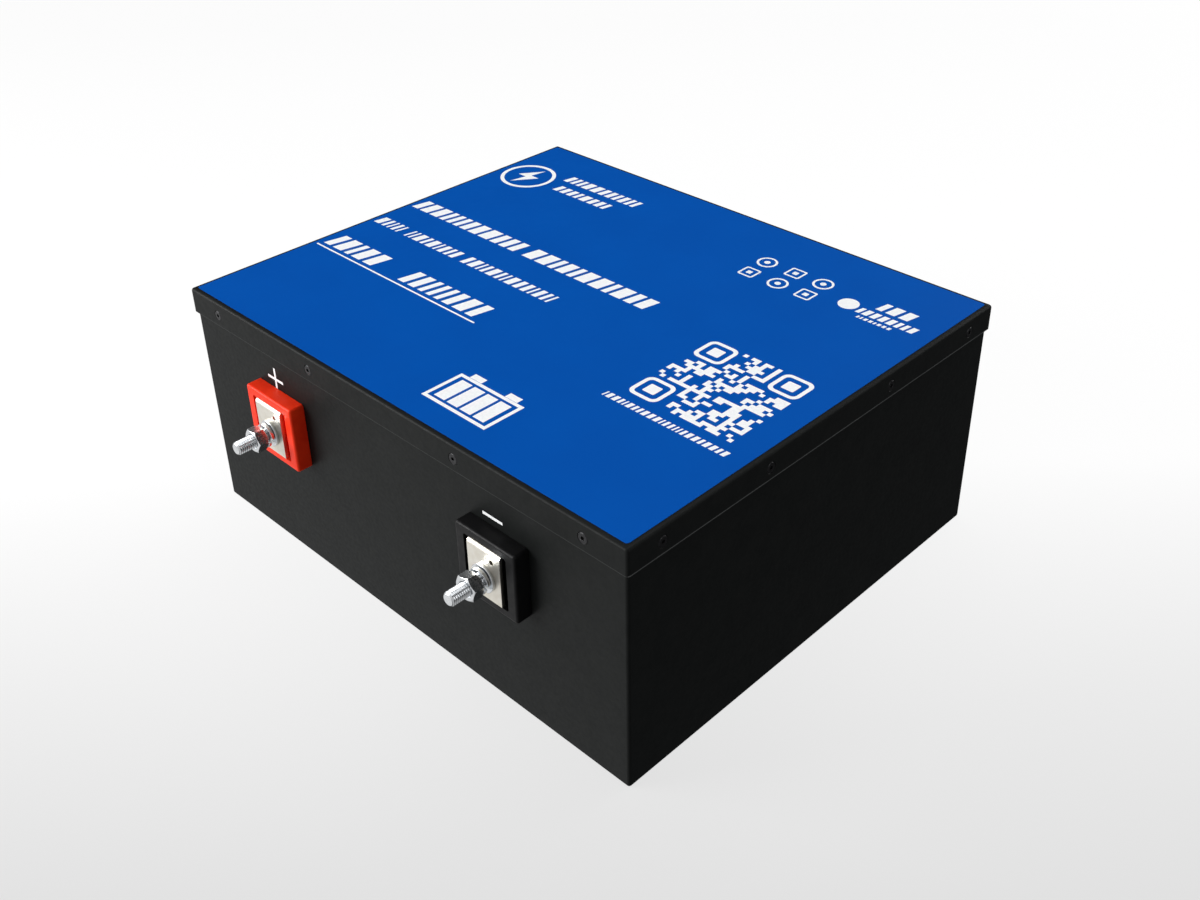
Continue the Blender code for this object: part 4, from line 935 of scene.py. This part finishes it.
glass_board = finish("glass_fibre_board", (0.340, 0.410, 0.170), 0.45)
tint(glass_board, waves(glass_board, 1.0 * MM, "X", 0.6), (0.310, 0.380, 0.150),
     (0.370, 0.440, 0.190), 0.2, 0.8)
relief(glass_board, waves(glass_board, 1.0 * MM, "X"), 0.03 * MM, 0.5)
relief(glass_board, waves(glass_board, 1.0 * MM, "Z"), 0.03 * MM, 0.5)
gloss(glass_board, grain(glass_board, 5 * MM), 0.38, 0.52)
dress(glass_board, "insulating_board")

white_silicone = finish("white_wire_jacket", (0.740, 0.740, 0.710), 0.46)
tint(white_silicone, grain(white_silicone, 6 * MM, 3.0), (0.690, 0.690, 0.655),
     (0.790, 0.790, 0.765))
gloss(white_silicone, grain(white_silicone, 2 * MM, 3.0), 0.40, 0.54)
relief(white_silicone, waves(white_silicone, 1.6 * MM, "DIAGONAL"), 0.12 * MM, 0.5)
dress(white_silicone, "balance_harness")

sensor_black = finish("black_wire_jacket", (0.018, 0.018, 0.019), 0.48)
tint(sensor_black, grain(sensor_black, 5 * MM, 3.0), (0.013, 0.013, 0.014), (0.024, 0.024, 0.025))
relief(sensor_black, grain(sensor_black, 0.8 * MM, 3.0), 0.03 * MM, 0.5)
gloss(sensor_black, grain(sensor_black, 2 * MM), 0.42, 0.56)
dress(sensor_black, "temperature_sensor")


# ---- Heat sink and protection board -----------------------------------------------------
# A milled aluminium tray on the case's floor carries the green board that guards the
# cells: transistors along its front edge, shunts, capacitors, a controller, plug headers
# and two copper posts for the cables.

dress(aluminium, "bms_heat_sink")

chance = random.Random(12)          # settles every choice of the small, uneven things

solder_mask = finish("green_solder_mask", (0.010, 0.125, 0.045), 0.34)
tint(solder_mask, grain(solder_mask, 5 * MM, 6.0), (0.008, 0.105, 0.036), (0.014, 0.145, 0.055))
relief(solder_mask, waves(solder_mask, 3.1 * MM, "Y", 2.5), 0.05 * MM, 0.35)
gloss(solder_mask, grain(solder_mask, 4 * MM), 0.28, 0.42)

copper = finish("tinned_copper", (0.760, 0.720, 0.640), 0.30, 1.0)
tint(copper, grain(copper, 3 * MM, 4.0), (0.690, 0.640, 0.550), (0.820, 0.790, 0.720))
gloss(copper, grain(copper, 1 * MM, 3.0), 0.24, 0.40)

cream_nylon = finish("cream_nylon", (0.730, 0.700, 0.600), 0.45)
tint(cream_nylon, grain(cream_nylon, 4 * MM, 3.0), (0.690, 0.660, 0.560), (0.770, 0.745, 0.650))
gloss(cream_nylon, grain(cream_nylon, 2 * MM), 0.40, 0.52)

board_low, board_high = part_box("bms_board")
BOARD_FACE = board_low.z + 1.6 * MM
BOARD_X = (board_low.x + board_high.x) / 2
BOARD_Y = (board_low.y + board_high.y) / 2
POST_SPOTS = {"pack": (78, 3), "load": (40, 21)}    # right of the board's middle, and behind it
POST_HEIGHT = 28 * MM

laminate = rounded_slab("board_laminate", board_low,
                        Vector((board_high.x, board_high.y, BOARD_FACE)), 1.5 * MM, 4, "z")
fit_in(laminate, solder_mask, "circuit_board", "bms_board")
shade(laminate)


def on_board(shape, width, depth, height, x, y, rounding=0.25 * MM):
    """Adds a block that stands on the board, its middle at x and y from the board's."""
    block = box_shape((BOARD_X + x - width / 2, BOARD_Y + y - depth / 2, BOARD_FACE),
                      (BOARD_X + x + width / 2, BOARD_Y + y + depth / 2, BOARD_FACE + height))
    round_edges(block, rounding, 2)
    shape.from_mesh(to_mesh(block, "block"))


def board_part(name, shape, material, slot):
    return shade(fit_in(draft(name, to_mesh(shape, name)), material, slot))


FRONT_ROW = -(board_high.y - board_low.y) / 2 + 10 * MM
bodies = bmesh.new()
legs = bmesh.new()
for column in range(9):
    x = -78 * MM + column * 15 * MM
    on_board(bodies, 10 * MM, 8.6 * MM, 4.4 * MM, x, FRONT_ROW + 0.2 * MM, 0.35 * MM)
    on_board(legs, 9.2 * MM, 1.6 * MM, 1.2 * MM, x, FRONT_ROW + 4.9 * MM, 0.2 * MM)
    for leg in (-3.4, -1.1, 1.1, 3.4):
        on_board(legs, 1.1 * MM, 1.4 * MM, 0.9 * MM, x + leg * MM, FRONT_ROW - 4.5 * MM, 0.15 * MM)
on_board(bodies, 12 * MM, 12 * MM, 1.5 * MM, -65 * MM, -2 * MM)
for step in range(-5, 6):
    for edge in (-6.4, 6.4):
        on_board(legs, 0.4 * MM, 1.2 * MM, 0.5 * MM, (step - 65) * MM, (edge - 2) * MM, 0.1 * MM)
        on_board(legs, 1.2 * MM, 0.4 * MM, 0.5 * MM, (edge - 65) * MM, (step - 2) * MM, 0.1 * MM)
for x, y in ((5, -4), (5, 7)):
    on_board(bodies, 12 * MM, 6 * MM, 2.9 * MM, x * MM, y * MM, 0.3 * MM)
    on_board(legs, 20 * MM, 5.6 * MM, 1.2 * MM, x * MM, y * MM, 0.3 * MM)
for _ in range(46):                 # small chips, kept clear of the larger parts
    x = chance.uniform(-88, -10) * MM
    y = chance.uniform(-14, 14) * MM
    if abs(x + 65 * MM) < 10 * MM and abs(y + 2 * MM) < 10 * MM:
        continue
    if -40 * MM < x < -8 * MM and abs(y - 4 * MM) < 8 * MM:
        continue
    if y > 12 * MM and x < -15 * MM:
        continue
    wide = chance.random() < 0.5
    long_side, short_side = 1.6 * MM, 0.8 * MM
    on_board(legs, long_side if wide else short_side, short_side if wide else long_side, 0.45 * MM,
             x, y, 0.08 * MM)
    on_board(bodies, (long_side - 0.7 * MM) if wide else short_side,
             short_side if wide else (long_side - 0.7 * MM), 0.5 * MM, x, y, 0.08 * MM)
for x, y in POST_SPOTS.values():
    on_board(legs, 16 * MM, 6 * MM, POST_HEIGHT, x * MM, y * MM, 0.5 * MM)
    on_board(legs, 20 * MM, 9 * MM, 0.3 * MM, x * MM, y * MM, 0.1 * MM)
board_part("board_components", bodies, black_plastic, "black_plastic")
board_part("board_metal", legs, copper, "nickel_plate")

cans = bmesh.new()
for x, y in ((-18, 4), (-31, 4)):
    can = turned("can", [(0, 0), (4.2 * MM, 0), (4.9 * MM, 0.6 * MM), (4.9 * MM, 1.6 * MM),
                         (4.5 * MM, 2.1 * MM), (4.9 * MM, 2.6 * MM), (4.9 * MM, 10.2 * MM),
                         (4.4 * MM, 11.0 * MM), (0, 11.0 * MM)], 32)
    can.transform(Matrix.Translation((BOARD_X + x * MM, BOARD_Y + y * MM, BOARD_FACE)))
    cans.from_mesh(can)
board_part("board_capacitors", cans, aluminium, "aluminium")

HEADER_Y = (board_high.y - board_low.y) / 2 - 6 * MM
headers = bmesh.new()
for x, width in ((-73, 22), (-49, 8), (-33, 8)):
    on_board(headers, width * MM, 7 * MM, 4.9 * MM, x * MM, HEADER_Y, 0.4 * MM)
board_part("board_headers", headers, cream_nylon, "white_wire")


# ---- Wireless module --------------------------------------------------------------------
# A small green board with a steel shielding can, stuck to the inside of the front wall,
# with its lead down to the protection board.

module_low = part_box("wireless_module")[0]
radio = finish("radio_board", (0.010, 0.125, 0.045), 0.34)
tint(radio, grain(radio, 4 * MM, 6.0), (0.008, 0.105, 0.036), (0.014, 0.145, 0.055))
relief(radio, grain(radio, 0.8 * MM, 3.0), 0.03 * MM, 0.4)
shield = inside(radio, (-10.2 * MM, module_low.y + 1.7 * MM, STUD_Z - 6.2 * MM),
                (5.2 * MM, module_low.y + 4.2 * MM, STUD_Z + 8.2 * MM))
part_metal(radio, shield, (0.620, 0.630, 0.640), 0.30)
dress(radio, "wireless_module")


# ---- Power cables -----------------------------------------------------------------------
# Silicone-covered stranded copper, red for the positive and black for the two negatives,
# with a tinned copper lug crimped on each end.

def cable_jacket(name, colour, dark, light, lugs):
    jacket = finish(name, colour, 0.48)
    tint(jacket, grain(jacket, 8 * MM, 3.0), dark, light)
    relief(jacket, grain(jacket, 1.2 * MM, 3.0), 0.04 * MM, 0.5)
    where = None
    for low, high in lugs:
        here = inside(jacket, low, high)
        where = here if where is None else either(jacket, where, here)
    part_metal(jacket, where, (0.760, 0.740, 0.700), 0.30)
    return jacket


def reach_box(start, way, reach, side=16 * MM):
    """The box that a lug fills, from its tip along its way."""
    start = Vector(start)
    end = start + Vector(way) * reach
    low = Vector([min(a, b) for a, b in zip(start, end)])
    high = Vector([max(a, b) for a, b in zip(start, end)])
    for axis in range(3):
        if abs(way[axis]) < 0.5:
            low[axis] -= side
            high[axis] += side
    return low, high


LUG_REACH = 26.2 * MM
upper = CELL_MIDDLE + POST_OFFSET
tail_y = WALL + 5.9 * MM
post_top = BOARD_FACE + POST_HEIGHT
tag_x = {side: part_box(f"{side}_busbar")[1].x for side in SIDES}
tag_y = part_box("positive_cable")[1].y
tail_z = {side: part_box(f"{side}_terminal_plate")[1].z + 2 * MM for side in SIDES}
at_tail = {side: reach_box((STUD_X[side], tail_y - MM, tail_z[side]), (0, 1, 0), LUG_REACH + MM,
                           9 * MM) for side in SIDES}
at_tag = {side: reach_box((tag_x[side], tag_y + MM, upper), (0, -1, 0), LUG_REACH + MM, 16 * MM)
          for side in SIDES}
at_post = {name: reach_box((BOARD_X + x * MM, BOARD_Y + y * MM - 5 * MM, post_top - 16 * MM),
                           (0, 0, 1), LUG_REACH + MM, 12 * MM)
           for name, (x, y) in POST_SPOTS.items()}
RED_JACKET = ((0.560, 0.022, 0.014), (0.500, 0.018, 0.012), (0.620, 0.028, 0.018))
BLACK_JACKET = ((0.016, 0.016, 0.017), (0.012, 0.012, 0.013), (0.021, 0.021, 0.022))
for name, colours, lugs, cable in (
        ("red_cable_jacket", RED_JACKET, (at_tail["positive"], at_tag["positive"]),
         "positive_cable"),
        ("pack_cable_jacket", BLACK_JACKET, (at_tag["negative"], at_post["pack"]),
         "pack_negative_cable"),
        ("load_cable_jacket", BLACK_JACKET, (at_tail["negative"], at_post["load"]),
         "load_negative_cable")):
    dress(cable_jacket(name, *colours, lugs), cable)


# ---- Lid --------------------------------------------------------------------------------
# The same coated steel sheet, folded down on all four sides over the outside of the tray.
# The screws go through its flanges. A pale line of painted highlight runs along their cut
# edge, brightest along the right end's flange.

lid_low, lid_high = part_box("lid")
lid = folded_pan("lid_sheet", lid_low, lid_high, False)
drill(lid)
soft_edges(lid, 0.22 * MM, 2, 60)
lid_coat_and_edge_highlight = powder_coat.copy()
lid_coat_and_edge_highlight.name = "lid_powder_coat_and_edge_highlight"
# Painted highlight: pale bands on the powder coat along the flanges' bottom edge, the brightest on
# the right flange.
for start, height, painted_highlight in ((lid_low.x - MM, 0.5 * MM, (0.032, 0.034, 0.033)),
                             (lid_high.x - 0.5 * MM, 0.7 * MM, (0.100, 0.105, 0.104))):
    edge = inside(lid_coat_and_edge_highlight, (start, lid_low.y - MM, lid_low.z - MM),
                  (lid_high.x + MM, lid_high.y + MM, lid_low.z + height))
    recolour(lid_coat_and_edge_highlight, edge, painted_highlight)
shade(fit_in(lid, lid_coat_and_edge_highlight, "case_paint", "lid"))


# ---- Lid screws -------------------------------------------------------------------------
# Sixteen M3 countersunk screws in black oxide steel, turned with a hex key. Their heads
# lie flush with the lid's flanges.

SOCKET = (2.0 * MM, 0.9 * MM)

black_oxide = finish("black_oxide", (0.042, 0.042, 0.044), 0.34, 1.0)
tint(black_oxide, grain(black_oxide, 1.0 * MM, 3.0), (0.032, 0.032, 0.034), (0.054, 0.054, 0.056))
gloss(black_oxide, grain(black_oxide, 0.5 * MM, 3.0), 0.30, 0.45)

rim = 0.28 * MM
outline = [(0, 0), (SCREW_HEAD_RADIUS - rim, 0), (SCREW_HEAD_RADIUS, -rim),
           (SCREW_SHANK_RADIUS, -1.1 * MM - rim), (SCREW_SHANK_RADIUS, -5.6 * MM),
           (SCREW_SHANK_RADIUS - 0.4 * MM, -6.0 * MM), (0, -6.0 * MM)]
screw_blank = draft("screw_blank", turned("lid_screw", outline, 32))
combine(screw_blank, hex_bar("socket", SOCKET[0], -SOCKET[1], MM), "DIFFERENCE")
soft_edges(screw_blank, 0.06 * MM, 1, 60)
screw_mesh = screw_blank.data
bpy.data.objects.remove(screw_blank)
screw_mesh.materials.append(black_oxide)
for number in range(1, SCREW_COUNT + 1):
    spot, out = screw_place(number)
    screw = draft(f"lid_screw_head_{number:02d}", screw_mesh.copy())
    screw.location = spot
    screw.rotation_euler = out.to_track_quat("Z", "Y").to_euler()
    shade(fit_in(screw, black_oxide, "screw_black", f"lid_screw_{number:02d}"))


# ---- Label ------------------------------------------------------------------------------
# A blue polyester film stuck on the lid, printed white. Plain slanted bars stand where
# such a label has its lines of text, and plain shapes where it has its pictures.

label_low, label_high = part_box("top_label")

label_film = finish("blue_label_film", (0.000, 0.076, 0.385), 0.55, specular=0.03)
tint(label_film, grain(label_film, 40 * MM, 3.0), (0.000, 0.074, 0.378), (0.000, 0.078, 0.392))
gloss(label_film, grain(label_film, 12 * MM, 3.0), 0.46, 0.56)
relief(label_film, grain(label_film, 5.0 * MM, 1.0), 0.02 * MM, 0.25)

film = box_shape(label_low, label_high)
round_edges(film, 1.5 * MM, 6, lambda edge: abs(edge.verts[0].co.z - edge.verts[1].co.z) > 0.1 * MM)
film = draft("label_film_sheet", to_mesh(film, "label_film"))
shade(fit_in(film, label_film, "label_film", "top_label"))


def bar_row(left, bottom, right, top, widths, gap, slant=0.2, spaces=()):
    """A row of slanted bars of uneven width from left to right, with wider word spaces."""
    outlines = []
    place = left
    number = 0
    while place < right:
        width = chance.choice(widths)
        if place + width > right:
            break
        outlines.append(bar(place, bottom, place + width, top, slant * (top - bottom)))
        number += 1
        place += width + gap * (3.0 if number in spaces else 1.0)
    return outlines


def loop(x, y, radius, corners=48, start=0.0):
    return [(x + radius * math.cos(start + 2 * math.pi * index / corners),
             y + radius * math.sin(start + 2 * math.pi * index / corners))
            for index in range(corners)]


def rounded_square(x, y, half, corner, steps=5):
    """Outline of a square with round corners about a middle."""
    outline = []
    for quarter, (way_x, way_y) in enumerate(((1, 1), (-1, 1), (-1, -1), (1, -1))):
        for step in range(steps + 1):
            turn = math.pi / 2 * (quarter + step / steps)
            outline.append((x + way_x * (half - corner) + corner * math.cos(turn),
                            y + way_y * (half - corner) + corner * math.sin(turn)))
    return outline


def mm(outline):
    return [(x * MM, y * MM) for x, y in outline]


rows = []
rows += bar_row(-170, 11, 40, 23.5, (4.0, 5.5, 7.0, 8.5), 2.6, spaces=(12,))
rows += bar_row(-170, -20, -6, -11, (1.6, 2.6, 3.8, 5.0), 2.4, spaces=(5, 14))
rows += bar_row(-168, -60, -118, -45, (4.0, 6.0, 8.0), 3.2)
rows += bar_row(-95, -60, -26, -45, (4.0, 6.0, 8.0), 3.2)
rows.append(bar(-170, -64.2, -22, -63.0))
rows += bar_row(-127, 107, -58, 116, (3.0, 4.0, 5.5), 2.2)
rows += bar_row(-122, 92, -72, 100, (3.0, 4.0, 5.5), 2.2)
rows += bar_row(81, -68, 163, -63.5, (1.0, 1.8, 2.6), 1.4)
rows += bar_row(131, 99.5, 152, 109, (4.0, 6.0), 2.4)
rows += bar_row(124, 89.5, 162, 96, (2.6, 3.6), 1.6)
rows += bar_row(128, 84.5, 152, 87, (1.2, 2.0), 1.2)
rings = []

# Round badge with a bolt of lightning, at the back left
rings.append((loop(-150, 96, 19), loop(-150, 96, 16.4)))
rows.append([(-147, 109.5), (-158, 94.5), (-151, 94.5), (-153.5, 82.5), (-142, 98), (-149, 98)])

# Battery picture, at the front
left, right, bottom, top = 14.0, 62.0, -130.0, -103.0
outer_line = [(left, bottom), (right, bottom), (right, top), (left, top)]
inner_line = [(left + 2.2, bottom + 2.2), (right - 2.2, bottom + 2.2), (right - 2.2, top - 2.2),
            (left + 2.2, top - 2.2)]
rings.append((outer_line, inner_line))
rows.append(bar(20, -102.8, 29, -98.5))
rows.append(bar(47, -102.8, 56, -98.5))
for index in range(4):
    rows.append(bar(19.2 + index * 9.9, -126.0, 27.2 + index * 9.9, -107.0))

# Plain shapes at the back right: rings, discs and squares
for x, y in ((51, 104), (92, 104), (72, 87)):
    rings.append((loop(x, y, 6.4, 40), loop(x, y, 5.0, 40)))
    rows.append(loop(x, y, 1.9, 24))
for x, y in ((72, 104), (51, 87), (92, 87)):
    rings.append((rounded_square(x, y, 5.4, 1.5), rounded_square(x, y, 4.2, 0.8)))
    rows.append(rounded_square(x, y, 1.7, 0.4))
rows.append(loop(116.5, 94.5, 6.2, 40))

# Square of small squares, made up at random, so that it says nothing
GRID = 25
CELL = 69.0 / GRID
GRID_LEFT, GRID_BOTTOM = 87.3, -56.8
CORNER = 7
filled = [[chance.random() < 0.5 for _ in range(GRID)] for _ in range(GRID)]
for row in range(GRID):
    for column in range(GRID):
        near_left = column < CORNER + 1
        near_top = row > GRID - CORNER - 2
        near_bottom = row < CORNER + 1
        near_right = column > GRID - CORNER - 2
        if (near_left and (near_top or near_bottom)) or (near_right and near_top):
            filled[row][column] = False
for row in range(GRID):
    column = 0
    while column < GRID:
        if not filled[row][column]:
            column += 1
            continue
        first = column
        while column < GRID and filled[row][column]:
            column += 1
        rows.append(bar(GRID_LEFT + first * CELL, GRID_BOTTOM + row * CELL + 0.02,
                        GRID_LEFT + column * CELL, GRID_BOTTOM + (row + 1) * CELL - 0.02))
half = CORNER * CELL / 2
for x, y in ((GRID_LEFT + half, GRID_BOTTOM + half),
             (GRID_LEFT + half, GRID_BOTTOM + GRID * CELL - half),
             (GRID_LEFT + GRID * CELL - half, GRID_BOTTOM + GRID * CELL - half)):
    rings.append((rounded_square(x, y, half, 4.5), rounded_square(x, y, half - 2.4, 2.6)))
    rows.append(rounded_square(x, y, 3.9, 0.8))

on_label = Matrix.Translation((0, 0, label_high.z))
printed("label_print", [mm(outline) for outline in rows], on_label,
        [(mm(outer), mm(inner)) for outer, inner in rings])


# ---- Room -------------------------------------------------------------------------------
# A pale floor that shines with its own painted light, brighter far off and darker towards
# the front, under soft studio light, with the camera in front of the battery's right end
# and above it.

FLOOR_CURVE = [(0, 0), (5.0, 0), (5.8, 0.25), (6.3, 0.9), (6.5, 4.0)]    # flat, then up a wall

floor = draft("floor", turned("floor", FLOOR_CURVE, 96))
floor_painted_glow = finish("pale_floor_painted_glow", (0.10, 0.10, 0.10), 0.9, specular=0.0)
floor_nodes = floor_painted_glow.node_tree.nodes
floor_links = floor_painted_glow.node_tree.links
floor_shader = floor_nodes["Principled BSDF"]
# Painted light: the floor's brightness is its own glow, brightest far back and darkest towards the
# front; only its faint diffuse part catches real shadows.
floor_shader.inputs["Emission Color"].default_value = (1.0, 1.0, 1.0, 1.0)
floor_place = floor_nodes.new("ShaderNodeTexCoord")
to_front = floor_nodes.new("ShaderNodeVectorMath")
to_front.operation = "DOT_PRODUCT"
to_front.inputs[1].default_value = (0.703, -0.711, 0.0)
floor_links.new(floor_place.outputs["Object"], to_front.inputs[0])
reach = floor_nodes.new("ShaderNodeMapRange")
reach.inputs["From Min"].default_value = -3.0
reach.inputs["From Max"].default_value = 0.3
floor_links.new(to_front.outputs["Value"], reach.inputs["Value"])
painted_light_falloff = floor_nodes.new("ShaderNodeValToRGB")
steps = painted_light_falloff.color_ramp.elements
steps.new(0.606)
steps.new(0.897)
for step, value in zip(steps, (0.97, 0.885, 0.91, 0.655)):
    step.color = (value, value, value, 1.0)
floor_links.new(reach.outputs["Result"], painted_light_falloff.inputs["Fac"])
floor_links.new(painted_light_falloff.outputs["Color"], floor_shader.inputs["Emission Strength"])
floor.data.materials.append(floor_painted_glow)
floor.visible_diffuse = False
floor.visible_glossy = False


def softbox(name, spot, aim, size, power):
    lamp = bpy.data.lights.new(name, "AREA")
    lamp.shape = "RECTANGLE"
    lamp.size, lamp.size_y = size
    lamp.energy = power
    item = bpy.data.objects.new(name, lamp)
    item.location = spot
    item.rotation_euler = (Vector(aim) - Vector(spot)).to_track_quat("-Z", "Y").to_euler()
    bpy.context.scene.collection.objects.link(item)
    return item


softbox("overhead_softbox", (0.05, 0.35, 1.7), (0, 0, 0.1), (1.6, 1.3), 15)
softbox("front_softbox", (-1.3, -1.5, 0.75), (0, 0, 0.08), (1.2, 1.0), 40)
softbox("back_softbox", (0.3, 2.1, 0.6), (0, 0, 0.08), (1.6, 0.8), 18)
softbox("right_softbox", (2.1, 0.0, 0.6), (0, 0, 0.08), (0.8, 1.6), 9)

world = bpy.data.worlds.new("studio")
bpy.context.scene.world = world
world.use_nodes = True
sky = world.node_tree.nodes
sky_links = world.node_tree.links
direction = sky.new("ShaderNodeTexCoord")
glow = sky.new("ShaderNodeVectorMath")
glow.operation = "DOT_PRODUCT"
glow.inputs[1].default_value = Vector((-0.50, -0.80, -0.12)).normalized()
sky_links.new(direction.outputs["Generated"], glow.inputs[0])
level = sky.new("ShaderNodeValToRGB")
level.color_ramp.elements[0].position = 0.0
level.color_ramp.elements[0].color = (0.075, 0.075, 0.078, 1.0)
level.color_ramp.elements[1].position = 0.95
level.color_ramp.elements[1].color = (0.95, 0.95, 0.95, 1.0)
sky_links.new(glow.outputs["Value"], level.inputs["Fac"])
sky_links.new(level.outputs["Color"], sky["Background"].inputs["Color"])
sky["Background"].inputs["Strength"].default_value = 1.0

camera = bpy.data.cameras.new("camera")
camera.sensor_width = 36.0
camera.lens = 40.37
camera.shift_x = -0.0069
camera.shift_y = -0.0842
camera.clip_start = 0.05
camera.clip_end = 30.0
viewer = bpy.data.objects.new("camera", camera)
right = Vector((0.71647, 0.69744, -0.01390))
up = Vector((-0.34551, 0.37216, 0.86146))
ahead = Vector((-0.60599, 0.61244, -0.50763))
turn = Matrix((right, up, -ahead)).transposed().to_4x4()
viewer.matrix_world = Matrix.Translation((0.48722, -0.47298, 0.51250)) @ turn
bpy.context.scene.collection.objects.link(viewer)
bpy.context.scene.camera = viewer
bpy.context.scene.view_settings.view_transform = "Standard"
